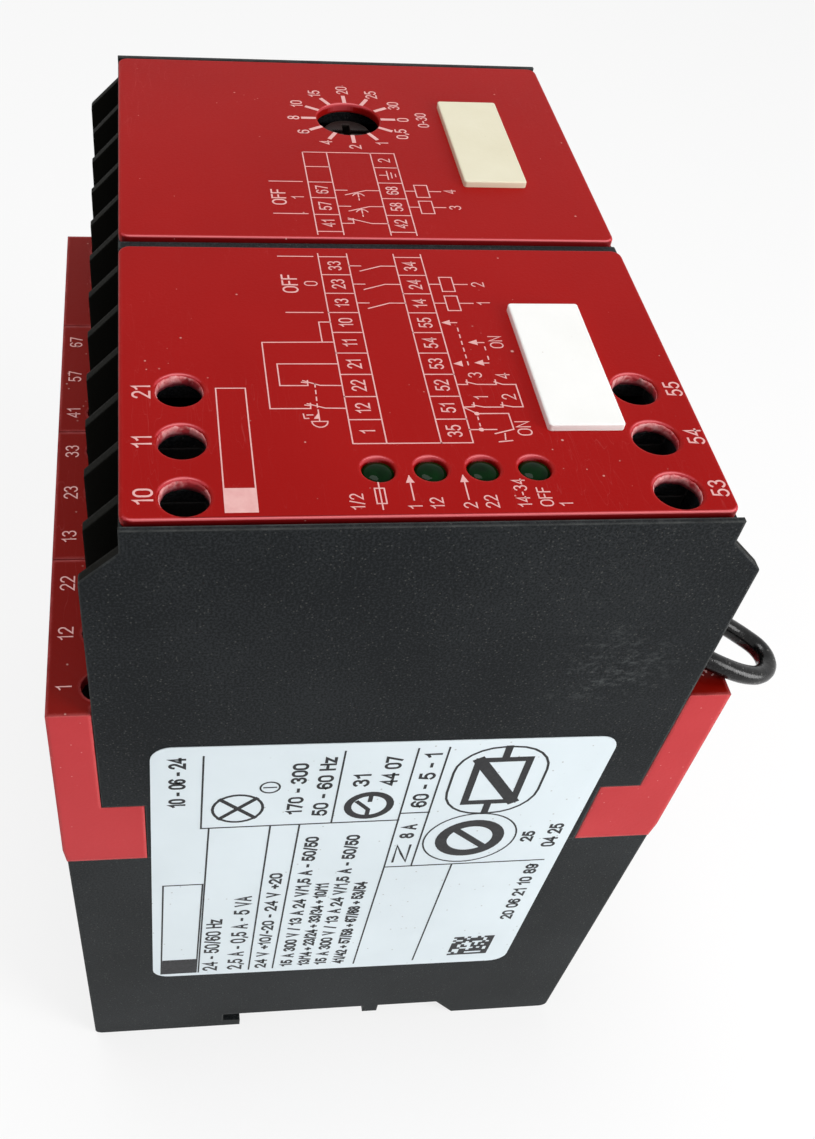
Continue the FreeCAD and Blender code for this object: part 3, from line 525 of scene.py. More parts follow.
plate_red = plate_material()
for side, (x0, x1) in PLATE_ENDS.items():
    loops = [rounded(x0, x1, -PLATE_HALF, PLATE_HALF, PLATE_CORNER)]
    if side == "left":
        loops += [ring(place, ACCESS_RADIUS, 48) for place in ACCESS]
        loops += [ring((LAMP_X, y), LAMP_HOLE, 36) for y in LAMP_ROWS]
    else:
        loops.append(ring(DIAL, DIAL_HOLE, 64))
    plate = mesh_piece(f"plate_{side}", filled_outline(
        f"plate_{side}", loops, PLATE_LOW, PLATE_HIGH, PLATE_ROUND), plate_red)
    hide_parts(f"front_plate_{side}")

# the hood's rib stands up between the plates, a little below them
rib = filled_outline("rib", [rounded(-RIB_HALF, RIB_HALF, -PLATE_HALF, PLATE_HALF, RIB_CORNER, 3)],
                     PLATE_LOW + RIB_SINK, RIB_TOP, RIB_ROUND)
mesh_piece("rib", rib, hood_black)


def torn_material():
    """Plastic whitened where it is torn and bruised, with specks of dirt, and painted shade
    darkening it lower down in the hole.
    """
    material, tree = new_material("torn_red")
    crumbs, patches = noise(tree, 1400, 4, 0.65), noise(tree, 420)
    colour = mix(tree, band(tree, crumbs, 0.35, 0.65), (200, 84, 88), (240, 172, 172))
    colour = mix(tree, band(tree, patches, 0.50, 0.58), colour, (172, 40, 48))
    # painted shade: the lining is painted darker lower down in the hole
    uneven = times(tree, patches, 0.0006)
    level = math_node(tree, "ADD", axes(tree, object_place(tree))["Z"], uneven)
    colour = mix(tree, band(tree, level, 0.1138, 0.1133), colour, (122, 36, 48))
    dirt = times(tree, band(tree, crumbs, 0.5, 0.7), band(tree, patches, 0.42, 0.5))
    colour = mix(tree, times(tree, dirt, 0.6), colour, (92, 52, 44))
    return finish(material, colour, crumbs, (0.5, 0.7), 0.0001)


def chewed_ring(place, seed, sides=56, levels=5):
    """A bruised lining of a screw hole: uneven in height and thickness."""
    chance = random.Random(seed)
    waves = [(chance.randint(2, 9), chance.uniform(0, math.tau), chance.uniform(0.3, 1))
             for _ in range(6)]
    points, faces, rows = [], [], levels + 2
    for k in range(sides):
        angle = math.tau * k / sides
        wave = sum(w * math.sin(n * angle + p) for n, p, w in waves) / 6
        far = 0.5 + 0.5 * math.cos(angle - 0.3)     # 1 on the side the driver leans on
        top = PLATE_HIGH - RIM_SINK + RIM_RISE * far + (CRUMB / 2 + CRUMB * far) * wave
        top = min(top + chance.uniform(-CRUMB, CRUMB) * far, PLATE_HIGH + CRUMB)
        column = []
        for level in range(levels):
            share = level / (levels - 1)
            depth = RIM_THIN + RIM_THICK * far * math.sin(math.pi * share * 0.8)
            depth += (0.14 * wave + chance.uniform(-0.06, 0.06)) * far
            column.append((ACCESS_RADIUS - max(depth, 0.015), top - share * (top - PLATE_LOW)))
        # the back of the lining lies just inside the wall of the hole
        back = ACCESS_RADIUS + RIM_THIN
        column += [(back, PLATE_LOW), (back, top - RIM_THIN)]
        points += [(place[0] + radius * math.cos(angle), place[1] + radius * math.sin(angle), z)
                   for radius, z in column]
        here, there = k * rows, ((k + 1) % sides) * rows
        for level in range(rows):
            up = (level + 1) % rows
            faces.append([here + level, here + up, there + up, there + level])
    return points, faces


torn_red = torn_material()
for index, place in enumerate(ACCESS):
    torn = new_piece(f"torn_hole_{index + 1}", *chewed_ring(place, TEAR_SEED + index), torn_red)


# ---------------------------------------------------------------- printing
# Everything on the plates is tampo-printed in a pinkish white ink: terminal
# numbers, a table of terminals with its wiring diagram, and the dial's scale.
INK, INK_SINK = 0.03, 0.004     # thickness of the ink film, and how far it bites in


def ink_material(name, base, cloudy, bare, share):
    """A thin ink film that has rubbed away in small spots."""
    material, tree = new_material(name)
    crumbs = noise(tree, 2600)
    colour = mix(tree, band(tree, noise(tree, 700, 4), 0.35, 0.7), base, cloudy)
    colour = mix(tree, band(tree, crumbs, 1 - share, 1.1 - share), colour, bare)
    return finish(material, colour, crumbs, (0.42, 0.55), gloss=0.3)


# a narrow single-stroke face, one capital high: width, then its strokes
FACE = {
    "0": (0.54, [arc(0.27, 0.7, 0.27, 0.3, 0, 180, 8) + arc(0.27, 0.3, 0.27, 0.3, 180, 360, 8)
                 + [(0.54, 0.7)]]),
    "1": (0.34, [[(0.02, 0.76), (0.16, 0.84), (0.26, 1), (0.26, 0)]]),
    "2": (0.54, [arc(0.27, 0.72, 0.26, 0.28, 170, -30, 9) + [(0, 0), (0.54, 0)]]),
    "3": (0.54, [arc(0.26, 0.76, 0.24, 0.24, 160, -80, 9),
                 arc(0.26, 0.27, 0.27, 0.27, 80, -160, 10)]),
    "4": (0.56, [[(0.42, 0), (0.42, 1), (0, 0.3), (0.56, 0.3)]]),
    "5": (0.54, [[(0.48, 1), (0.1, 1), (0.05, 0.53)]
                 + arc(0.26, 0.31, 0.28, 0.31, 125, -155, 11)]),
    "6": (0.54, [arc(0.29, 0.7, 0.27, 0.3, 30, 170, 6) + [(0.01, 0.3)]
                 + arc(0.27, 0.3, 0.26, 0.3, 180, -180, 14)]),
    "7": (0.52, [[(0, 1), (0.52, 1), (0.18, 0)]]),
    "8": (0.54, [arc(0.27, 0.76, 0.23, 0.24, -90, 270, 13),
                 arc(0.27, 0.26, 0.27, 0.26, 90, 450, 14)]),
    "9": (0.54, [arc(0.25, 0.3, 0.27, 0.3, 210, 350, 6) + [(0.53, 0.7)]
                 + arc(0.27, 0.7, 0.26, 0.3, 0, 360, 14)]),
    "O": (0.64, [arc(0.32, 0.66, 0.32, 0.34, 0, 180, 9) + arc(0.32, 0.34, 0.32, 0.34, 180, 360, 9)
                 + [(0.64, 0.66)]]),
    "N": (0.56, [[(0, 0), (0, 1), (0.56, 0), (0.56, 1)]]),
    "F": (0.46, [[(0.46, 1), (0, 1), (0, 0)], [(0, 0.52), (0.4, 0.52)]]),
    "V": (0.56, [[(0, 1), (0.28, 0), (0.56, 1)]]),
    "A": (0.56, [[(0, 0), (0.28, 1), (0.56, 0)], [(0.1, 0.34), (0.46, 0.34)]]),
    "H": (0.54, [[(0, 0), (0, 1)], [(0.54, 0), (0.54, 1)], [(0, 0.52), (0.54, 0.52)]]),
    "z": (0.4, [[(0, 0.68), (0.4, 0.68), (0, 0), (0.4, 0)]]),
    ",": (0.1, [[(0.1, 0.06), (0.02, -0.16)]]),
    "-": (0.32, [[(0.02, 0.42), (0.3, 0.42)]]),
    "+": (0.44, [[(0, 0.42), (0.44, 0.42)], [(0.22, 0.2), (0.22, 0.64)]]),
    "/": (0.3, [[(0, -0.04), (0.3, 1.04)]]),
    " ": (0.22, []),
}


class Print:
    """Strokes and figures of one printed area, joined into one thin piece.
    Places are millimetres along and across the area."""

    def __init__(self, weight):
        self.weight = weight
        self.points = []
        self.faces = []
        self.strokes = 0

    def level(self):
        """Top of the ink; crossing strokes differ a little, so none are coplanar."""
        self.strokes += 1
        return INK * (0.8 + 0.04 * (self.strokes % 6))

    def area(self, corners):
        """A filled flat shape from its corners, anticlockwise."""
        first, count, top = len(self.points), len(corners), self.level()
        self.points += [(x, y, level) for level in (0, top) for x, y in corners]
        self.faces.append([first + count + k for k in range(count)])
        self.faces.append([first + count - 1 - k for k in range(count)])
        self.faces += [[first + k, first + (k + 1) % count,
                        first + count + (k + 1) % count, first + count + k]
                       for k in range(count)]

    def path(self, *stops, weight=None):
        """One mitred stroke through its stops, closed if it ends where it began."""
        half = (weight or self.weight) / 2
        closed = len(stops) > 3 and math.dist(stops[0], stops[-1]) < 1e-6
        stops = [Vector(stop) for stop in (stops[:-1] if closed else stops)]
        count, first, top = len(stops), len(self.points), self.level()
        edge = []
        for k, here in enumerate(stops):
            before = stops[k - 1] if k or closed else None
            after = stops[(k + 1) % count] if k < count - 1 or closed else None
            into = (here - before).normalized() if before else (after - here).normalized()
            away = (after - here).normalized() if after else into
            lean = Vector((-into.y - away.y, into.x + away.x)).normalized()
            reach = half / max(0.45, lean.dot(Vector((-into.y, into.x))))
            if not before:
                here = here - away * half
            if not after:
                here = here + into * half
            edge.append((here + lean * reach, here - lean * reach))
        for low, high in edge:
            self.points += [(*low, 0), (*high, 0), (*low, top), (*high, top)]
        pairs = list(zip(range(count), range(1, count))) + ([(count - 1, 0)] if closed else [])
        for a, b in pairs:
            a, b = first + 4 * a, first + 4 * b
            self.faces += [[a + 2, a + 3, b + 3, b + 2], [a + 1, a, b, b + 1],
                           [a, a + 2, b + 2, b], [a + 3, a + 1, b + 1, b + 3]]
        if not closed:
            last = first + 4 * (count - 1)
            self.faces += [[first, first + 1, first + 3, first + 2],
                           [last + 1, last, last + 2, last + 3]]

    def paths(self, *strokes):
        """Several strokes, each a row of stops."""
        for stops in strokes:
            self.path(*stops)

    def line(self, x0, y0, x1, y1, weight=None):
        """One straight stroke."""
        self.path((x0, y0), (x1, y1), weight=weight)

    def frame(self, x0, y0, x1, y1, weight=None):
        """A closed rectangle of strokes."""
        self.path((x0, y0), (x1, y0), (x1, y1), (x0, y1), (x0, y0), weight=weight)

    def circle(self, x, y, radius, steps, weight=None):
        """A closed ring of one stroke."""
        self.path(*arc(x, y, radius, radius, 0, 360, steps), weight=weight)

    def dashes(self, x0, y0, x1, y1, dash=0.5, gap=0.55):
        """A broken line that begins and ends with a dash."""
        length = math.hypot(x1 - x0, y1 - y0)
        count = max(2, round((length + gap) / (dash + gap)))
        for k in range(count):
            a = k * (length - dash) / (count - 1) / length
            b = a + dash / length
            self.line(x0 + (x1 - x0) * a, y0 + (y1 - y0) * a,
                      x0 + (x1 - x0) * b, y0 + (y1 - y0) * b)

    def text(self, words, x, y, height, align="CENTER", squeeze=1, weight=None, end=None):
        """Words in the narrow face, centred on y; height is that of a capital. With an
        end, they run from x to there."""
        weight = weight or self.weight
        size, gap = height - weight, 0.24
        width = sum(FACE[c][0] + gap for c in words) - gap
        if end is not None:
            align, squeeze = "LEFT", (end - x - weight) / (width * size)
        start = x - width * size * squeeze / 2 if align == "CENTER" else x + weight / 2
        for letter in words:
            for stroke in FACE[letter][1]:
                self.path(*[(start + u * size * squeeze, y + (v - 0.5) * size)
                            for u, v in stroke], weight=weight)
            start += (FACE[letter][0] + gap) * size * squeeze

    def earth(self, x, y, stem, rungs):
        """The sign of protective earth: a stem on rungs of (half, drop)."""
        self.line(x, y + stem, x, y)
        for half, drop in rungs:
            self.line(x - half, y - drop, x + half, y - drop)

    def coil(self, x, lead, top, low, end, half, number, base):
        """A relay coil: a box with a lead over and under it, and its number."""
        self.frame(x - half, low, x + half, top)
        self.line(x, lead, x, top)
        self.line(x, low, x, end)
        self.text(number, x, base, 1.45)

    def piece(self, name, material, placed):
        """Makes the piece, with each place put where placed says."""
        points = [placed(*p) for p in self.points]
        return new_piece(name, points, self.faces, material, smooth=False)


ink_pink = ink_material("ink_pink", (236, 184, 180), (226, 166, 164), (190, 80, 80), 0.30)


def on_plate(x, y, z):
    """Places on the front of the plates."""
    return x, y, PLATE_HIGH - INK_SINK + z


left = Print(0.135)
# numbers of the front terminals, beside their holes
for x, upper, lower in ((-40.9, "10", "53"), (-33.5, "11", "54"), (-26.2, "21", "55")):
    left.text(upper, x, 26.45, 1.85, weight=0.22)
    left.text(lower, x + 0.15, -27.3, 1.75, weight=0.2)
left.frame(-43.05, 16.3, -25.75, 19.2)
left.area([(-43.05, 16.3), (-39.95, 16.3), (-39.95, 19.2), (-43.05, 19.2)])
# what each lamp shows: supply and fuse, the two inputs, and the outputs
left.text("1/2", -42.95, 7.25, 1.3, "LEFT")
left.frame(-42.2, 4.55, -40.2, 5.45)
left.line(-42.95, 5, -39.45, 5)
for y, number in ((2, "1"), (-3.1, "2")):
    left.text(number, -42.95, y, 1.3, "LEFT")
    left.line(-41.8, y, -38.6, y)
    left.area([(-39.5, y - 0.4), (-38.5, y), (-39.5, y + 0.4)])
for words, x, y, squeeze in (
        ("12", -42.95, -0.05, 1), ("22", -42.95, -5.15, 1), ("14-34", -42.9, -8.2, 0.95),
        ("OFF", -42.85, -10.3, 1), ("1", -42.85, -12.1, 1)):
    left.text(words, x, y, 1.3, "LEFT", squeeze)
# terminal table: nine cells in two rows, between four rules
TABLE_X, CELL, OVERHANG = -34.05, 3.472, 0.6
head, shelf, ledge, foot = 6.65, 3.4, -1.87, -4.98
CELL_ENDS = [TABLE_X + CELL * k for k in range(10)]
for low, high, names in ((shelf, head, "1 12 22 21 11 10 13 23 33"),
                         (foot, ledge, "35 51 52 53 54 55 14 24 34")):
    for level in (low, high):
        left.line(TABLE_X, level, CELL_ENDS[-1] + OVERHANG, level)
    for x, number in zip(CELL_ENDS, names.split()):
        left.line(x, low, x, high)
        left.text(number, x + CELL / 2, (low + high) / 2, 1.5, squeeze=0.9, weight=0.165)
for x, low, high in ((TABLE_X, shelf, ledge), (CELL_ENDS[-1], shelf, head),
                     (CELL_ENDS[-1], foot, ledge)):
    left.line(x, low, x, high)
# emergency switch with two broken contacts, and its dashed link
left.paths([(-14.9, head), (-14.9, 7.88), (-18.33, 7.88)],
           [(-18.33, head), (-18.4, 14.1), (-28.88, 14.1), (-28.88, 10.15), (-28.1, 10.1)],
           [(-28.88, head), (-28.82, 8.74), (-28.15, 10.4)],
           [(-21.93, head), (-21.93, 12.85), (-25.37, 12.85), (-25.37, 10.07), (-24.6, 10.05)],
           [(-25.38, head), (-25.34, 8.86), (-24.6, 10.5)],
           [(-28.45, 10.1), (-28.35, 10.65)], [(-24.95, 10.1), (-24.85, 10.65)])
left.dashes(-28.7, 9.47, -25.1, 9.35)
left.paths([*arc(-30.8, 9.47, 0.85, 0.78, 90, 270, 9), (-30.8, 10.25)],
           [(-30.8, 9.47), (-29.1, 9.45)])
left.area([(-30.4, 9.5), (-29.5, 9.45), (-30.4, 10)])
left.path((-29.7, 10.95), (-30.35, 10.9), (-30.35, 10.5))
left.dashes(-29.85, 10.6, -29.83, 10.05, 0.2, 0.15)
# outputs that open at once
left.text("OFF", -8, 10.3, 1.75, weight=0.2)
left.text("0", -7.95, 8, 1.5)
for x in (-13.23, -2.78):
    left.line(x, 7.25, x, 11.15)
for x in (-11.48, -8.02, -4.54):
    left.paths([(x, shelf), (x, 2.1)], [(x - 0.98, 2.28), (x, -0.13), (x, ledge)])
# start button, feedback contacts and the links of the mode
left.paths([(-32.15, foot), (-32.15, -7.66)],
           [(-28.78, foot), (-29.77, -6.16), (-29.77, -9.34), (-32.13, -9.37), (-32.76, -7.4)])
for x, y in ((-32.15, -6.14), (-29.77, -6.16)):
    left.area(arc(x, y, 0.27, 0.27, 0, 315, 7))
left.dashes(-31.6, -6.15, -30.3, -6.15, 0.35, 0.3)
left.dashes(-33.6, -8.25, -32.75, -8.37, 0.35, 0.2)
left.line(-33.94, -7.56, -33.78, -8.89)
left.text("ON", -32, -10.4, 1.5)
left.paths([(-28.76, foot), (-28.72, -6.12), (-28.1, -6.15)],
           [(-28.45, -5.95), (-28.78, -7.05), (-28.8, -9), (-28.1, -9.05)],
           [(-28.45, -8.85), (-28.77, -10), (-28.77, -11.04), (-25.28, -11.04), (-25.27, -9.7),
            (-24.85, -8.9)],
           [(-24.55, -9.06), (-25.28, -9.03), (-25.25, -7.04), (-24.85, -6)],
           [(-24.55, -6.1), (-25.27, -6.07), (-25.25, foot)])
for number, x, y in (("1", -27.3, -7.07), ("2", -27.2, -9.9), ("3", -23.75, -7.12),
                     ("4", -23.9, -10)):
    left.text(number, x, y, 1.45)
for x, y in ((-14.94, -5.19), (-21.9, -5.22), (-18.35, -7.45), (-21.76, -7.46)):
    left.area([(x, y), (x - 0.47, y - 0.95), (x + 0.47, y - 0.95)])
left.line(-14.93, -6.1, -14.93, -6.84)
left.dashes(-15.9, -6.76, -22.1, -6.76, gap=0.7)
left.paths([(-18.38, -8.4), (-18.38, -9.1)], [(-21.8, -8.4), (-21.8, -8.95)])
left.dashes(-19.1, -9.06, -21.2, -9.06, gap=0.6)
left.text("ON", -18.3, -10.4, 1.45)
for x, number in ((-11.45, "1"), (-7.95, "2")):
    left.coil(x, foot, -6.32, -7.73, -9.28, 1.33, number, -10.45)
left.piece("plate_left_print", ink_pink, on_plate)

right = Print(0.14)
# terminal table of the delayed outputs, open towards the rib
RIGHT_START, RIGHT_END = 1.68, 20
SEPARATORS = (2.3, 5.85, 9.5, 13, 16.56, RIGHT_END)
CELLS = (4.05, 7.7, 11.3)
head, shelf, ledge, foot = 6.2, 3.2, -2.25, -5.26
for low, high, names in ((shelf, head, "41 57 67"), (foot, ledge, "42 58 68")):
    for level in (low, high):
        right.line(RIGHT_START, level, RIGHT_END, level)
    for x in SEPARATORS:
        right.line(x, low, x, high)
    for x, number in zip(CELLS, names.split()):
        right.text(number, x, (low + high) / 2, 1.5, squeeze=0.92, weight=0.17)
right.line(RIGHT_END, shelf, RIGHT_END, ledge)
right.text("2", 18.3, -3.75, 1.5)
right.earth(14.8, -3.7, 0.95, ((0.95, 0), (0.6, 0.5), (0.28, 1)))
right.text("OFF", 9.55, 10, 1.75, weight=0.2)
right.text("1", 9.5, 7.75, 1.5)
for x in (5.98, 13.05):
    right.line(x, 6.9, x, 10.85)
# one closed contact and two delayed ones
right.paths([(4.03, shelf), (4.05, 1.76), (5.05, 1.74)],
            [(5.15, 2.3), (4.05, -0.33), (4.07, ledge)], [(4.75, 1.78), (4.85, 2.3)])
for x in (7.7, 11.24):
    right.paths([(x, shelf), (x, 1.7)], [(x - 1.02, 2), (x, -0.57), (x, ledge)],
                arc(x - 1.62, 0.47, 0.95, 0.75, 62, -62, 7), [(x - 1.5, 0.47), (x - 0.4, 0.47)])
    right.dashes(x - 2.15, 0.48, x - 1.85, 0.48, 0.2, 0.1)
for x, number in ((7.7, "3"), (11.25, "4")):
    right.coil(x, foot, -6.58, -8.15, -9.66, 1.36, number, -10.8)
# scale of the delay, one tick every 30 degrees
SCALE = ("8", "10", "15", "20", "25", "30", "0", "0,5", "1", "2", "4", "6")
TICK_IN, TICK_OUT, TICK_WEIGHT, SCALE_RING, WIDE_SHIFT = 4.45, 5.85, 0.5, 7.1, 0.5
for k, number in enumerate(SCALE):
    angle = math.radians(90 - 30 * k)
    ux, uy = math.cos(angle), math.sin(angle)
    right.line(DIAL[0] + TICK_IN * ux, DIAL[1] + TICK_IN * uy,
               DIAL[0] + TICK_OUT * ux, DIAL[1] + TICK_OUT * uy, TICK_WEIGHT)
    reach = SCALE_RING + WIDE_SHIFT * abs(ux) * (len(number) > 1)
    right.text(number, DIAL[0] + reach * ux, DIAL[1] + reach * uy, 1.55, weight=0.19)
right.text("0-30", 28.6, -10.2, 1.5, weight=0.19)
right.piece("plate_right_print", ink_pink, on_plate)


# ---------------------------------------------------------------- covers
# Eight red covers of three poles each close the rear terminals. Their plastic is a little glossier
# than the plates'. The face strips, where the pole numbers are printed, are painted darker than
# the sides as painted shade, and the edges carry a painted highlight.
COVER_FACE, STRIP_ROW, FIRST_POLE, POLE_PITCH = 87, 35.6, -41.25, 7.5


def cover_material():
    """Glossier red, with painted shade on the faces that look up and a painted highlight on the
    edges.
    """
    material, tree = new_material("cover_red")
    surface = place_group(tree, grain, Scale=1800, Cloud_Scale=45)
    lines = place_group(tree, rubs, Scale=50, Cover=0.5)
    corner = place_group(tree, edges, Radius=0.0007, Amount=0.85)
    specks = place_group(tree, dust, Scale=900, Size=0.18, Cover=0.5)
    up_facing_shade = axes(tree, new_node(tree, "NewGeometry").outputs["Normal"])["Z"]
    colour = mix(tree, surface["Tone"], (188, 54, 58), (198, 62, 66))
    # painted shade: faces that look up are painted dark red
    colour = mix(tree, band(tree, up_facing_shade, 0.3, 0.8), colour, (122, 10, 2))
    colour = tint(tree, colour, lines, 0.25, (232, 130, 128))
    # painted highlight: the edges are painted pale pink
    colour = mix(tree, corner["Mask"], colour, (228, 112, 112))
    colour = tint(tree, colour, specks, 0.4, (230, 190, 180))
    return finish(material, colour, surface["Height"], (0.34, 0.44), 0.00002, 0.07, corner)


dress(cover_material(), *(f"{side}_terminal_cover_{index + 1}"
                          for side in ("upper", "lower") for index in range(4)))
strip = Print(0.17)
UPPER_POLES = ("1", "12", "22", "13", "23", "33", "41", "57", "67")
LOWER_POLES = ("35", "51", "52", "14", "24", "34", "42", "58", "68", "", "2")
for sign, names in ((1, UPPER_POLES), (-1, LOWER_POLES)):
    for k, number in enumerate(names):
        strip.text(number, FIRST_POLE + POLE_PITCH * k, sign * STRIP_ROW, 1.7)
strip.earth(FIRST_POLE + POLE_PITCH * LOWER_POLES.index(""), -STRIP_ROW, 0.8,
            ((0.9, 0), (0.58, 0.42), (0.28, 0.84)))
strip_print = strip.piece("cover_print", ink_pink,
                          lambda x, y, z: (x, y, COVER_FACE - INK_SINK + z))


# ---------------------------------------------------------------- marker tags
# Blank plastic tags for the plant's own markings sit in shallow seats of the
# plates: a newer white one on the left and a yellowed one on the right.
TAG_X, TAG_Y, TAG_HALF = 22.4, -16.6, (10, 3.85)
TAG_SEAT, TAG_TOP, TAG_CORNER, TAG_ROUND = 113.55, 114.745, 0.35, 0.18
for side, slot, x, base, cloudy, stain in (
        ("left", "tag_white", -TAG_X, (253, 253, 251), (248, 248, 245), (196, 186, 174)),
        ("right", "tag_cream", TAG_X, (234, 228, 202), (226, 219, 190), (176, 160, 130))):
    satin = layered(slot, base, cloudy, (1500, 110), [
        (dust, {"Scale": 1100, "Size": 0.12, "Cover": 0.45}, 0.5, stain)], (0.34, 0.46), 0.00002)
    loop = rounded(x - TAG_HALF[0], x + TAG_HALF[0], TAG_Y - TAG_HALF[1], TAG_Y + TAG_HALF[1],
                   TAG_CORNER, 4)
    tag = mesh_piece(f"tag_{side}", filled_outline(
        f"tag_{side}", [loop], TAG_SEAT, TAG_TOP, TAG_ROUND), satin)
    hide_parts(f"marker_tag_{side}")


# ---------------------------------------------------------------- rating label
# A white satin film label across the parting of pot and hood. Its table is
# ruled in black, and the rows hold plain figures and wiring symbols only.
LABEL_X, LABEL_FILM = -45, 0.08
LABEL_CENTRE, LABEL_HALF, LABEL_TILT = (0.4, 50.2), (26.9, 30), 1
LABEL_CORNER = 2.4
PRINT_TOP, PRINT_SHIFT, PRINT_LEAN, PRINT_BOW = 28.5, -0.2, 0.009, 0.00021


def on_side(along, up, z):
    """Label places, leaning more and more towards the back as the print does."""
    down = LABEL_CENTRE[1] + PRINT_TOP - along
    lean = PRINT_SHIFT + PRINT_LEAN * down + PRINT_BOW * down * down
    return LABEL_X - LABEL_FILM + INK_SINK - z, up + lean, along


film = filled_outline("label", [rounded(
    LABEL_CENTRE[1] - LABEL_HALF[1], LABEL_CENTRE[1] + LABEL_HALF[1],
    LABEL_CENTRE[0] - LABEL_HALF[0], LABEL_CENTRE[0] + LABEL_HALF[0], LABEL_CORNER)],
    0, LABEL_FILM)
# turned as it was stuck on: along the depth, one degree off true
tilt = math.radians(LABEL_TILT)
for vertex in film.vertices:
    along, up, out = (c / MM for c in vertex.co)
    du, dv = up - LABEL_CENTRE[0], along - LABEL_CENTRE[1]
    vertex.co = Vector((LABEL_X - out,
                        LABEL_CENTRE[0] + du * math.cos(tilt) - dv * math.sin(tilt),
                        LABEL_CENTRE[1] + du * math.sin(tilt) + dv * math.cos(tilt))) * MM
film.flip_normals()
label = mesh_piece("label", film, layered(
    "label_film", (228, 239, 244), (212, 223, 228), (900, 25),
    [(dust, {"Scale": 800, "Size": 0.12, "Cover": 0.5}, 0.6, (150, 150, 146)),
     (rubs, {"Scale": 40, "Sharpness": 0.03, "Cover": 0.55}, 0.12, (150, 156, 158))],
    (0.30, 0.38), 0.00001))
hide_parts("rating_label")

rows = Print(0.22)
for rule in ((63.2, 21.06, 78.7, 21.06), (63.2, 21.06, 63.2, -3.3), (21.6, 20.1, 63.2, 20.1),
             (21.6, 12.6, 63.2, 12.6), (21.6, 9, 63.2, 9), (63.2, 5.1, 78.7, 5.1),
             (21.6, -3.3, 51.3, -3.3), (51.3, -3.3, 78.7, -3.3), (51.3, -6.9, 78.7, -6.9),
             (64.75, -3.3, 64.75, -6.9), (51.3, -3.3, 51.3, -24.9), (21.6, -12.4, 51.3, -12.4)):
    rows.line(*rule)
rows.frame(21.6, 20.45, 49, 25.6)
rows.area([(21.7, 20.5), (26.2, 20.5), (26.2, 25.5), (21.7, 25.5)])
# rows of plain figures: voltage, frequency, currents and contact numbers
SWITCHED = "15 A 300 V / 13 A 24 V/1,5 A - 50/50"
for words, z, end, y, height in (
        ("10 - 06 - 24", 68.2, 78.6, 24, 2),
        ("24 - 50/60 Hz", 21.9, 38.6, 18.45, 2.2), ("2,5 A - 0,5 A - 5 VA", 21.9, 45, 14.8, 2.2),
        ("24 V +10/-20 - 24 V +20", 21.9, 51, 10.9, 1.75), (SWITCHED, 21.9, 60, 7.05, 1.75),
        ("13/14 + 23/24 + 33/34 + 10/11", 21.9, 47.7, 4.4, 1.7),
        (SWITCHED, 21.9, 60, 1.85, 1.75),
        ("41/42 + 57/58 + 67/68 + 53/54", 21.9, 47.5, -0.85, 1.7),
        ("170 - 300", 65.6, 76.6, 9.95, 1.9), ("50 - 60 Hz", 65, 77.6, 6.8, 1.9),
        ("31", 71.2, 74, 2.5, 2), ("44 07", 71.2, 77.3, -0.8, 2),
        ("60 - 5 - 1", 66, 77.8, -5.25, 2), ("8 A", 58.6, 62, -5, 1.9),
        ("25", 56.4, 59, -21.1, 1.7), ("04 25", 54.8, 60.6, -24.4, 1.9),
        ("20 06 21 10 89", 34, 50.2, -23.8, 1.8)):
    rows.text(words, z, y, height, weight=0.35, end=end)
rows.path((52.6, -4.2), (56.8, -4.2), (54.7, -5), (52.6, -5.9), (56.8, -5.9), weight=0.3)
# lamp, contact, crossed ring and relay symbols in the places of the marks
rows.circle(67.4, 16.8, 3, 28, 0.35)
rows.line(65.3, 14.7, 69.5, 18.9, 0.55)
rows.line(65.3, 18.9, 69.5, 14.7, 0.55)
rows.circle(71.8, 13.2, 1.15, 18)
rows.line(71.8, 12.5, 71.8, 13.9)
rows.circle(66.9, 0.9, 2.6, 28, 0.9)
rows.path((64.6, 0.9), (66, 0.9), (67.8, 2.4), weight=0.55)
rows.line(68, 0.9, 69.2, 0.9, 0.55)
rows.circle(57.9, -13.4, 6, 44)
rows.circle(57.9, -13.4, 3.7, 32, 1.5)
rows.line(55.6, -15.7, 60.2, -11.1, 1)
mark = rounded(64, 78.4, -19.6, -8.3, 5)
rows.path(*mark, mark[0], weight=0.3)
rows.frame(66.6, -17, 75.8, -10.9, 0.9)
rows.line(66.8, -16.8, 75.6, -11.1, 1.5)
rows.line(64.2, -13.95, 66.2, -13.95, 0.9)
rows.line(76.2, -13.95, 78.2, -13.95, 0.9)
# a small square code of random cells, saying nothing
CODE_PLACE, CODE_PITCH, CODE_CELL, CODE_COUNT, CODE_SHARE = (22.6, -23.6), 0.51, 0.5, 12, 0.66
chance = random.Random(5)
for k in range(CODE_COUNT):
    for row in range(CODE_COUNT):
        if k == 0 or row == 0 or chance.random() < CODE_SHARE:
            z, y = CODE_PLACE[0] + CODE_PITCH * k, CODE_PLACE[1] + CODE_PITCH * row
            rows.area([(z, y), (z + CODE_CELL, y), (z + CODE_CELL, y + CODE_CELL),
                       (z, y + CODE_CELL)])
ink_black = ink_material("ink_black", (24, 25, 28), (32, 33, 36), (84, 88, 92), 0.26)
rows.piece("label_print", ink_black, on_side)


# ---------------------------------------------------------------- jumper
# A short stranded lead in black PVC bridges two lower front terminals. It is
# crimped into black ferrules and stands out of the pockets in a free loop.
WIRE, WIRE_LENGTH = 2.2, 35.6
ROUTE = [(-41.25, -29.2, 90.3), (-41.25, -32.6, 90.3), (-42.5, -36, 89.1),
         (-42.7, -39.4, 87.5), (-42, -42.2, 86.3), (-40.2, -44, 85.7),
         (-37.6, -44, 85.6), (-35.8, -42, 86.1), (-34.9, -39.2, 87.5),
         (-34.2, -36.2, 89.2), (-33.75, -32.6, 90.3), (-33.75, -29.2, 90.3)]


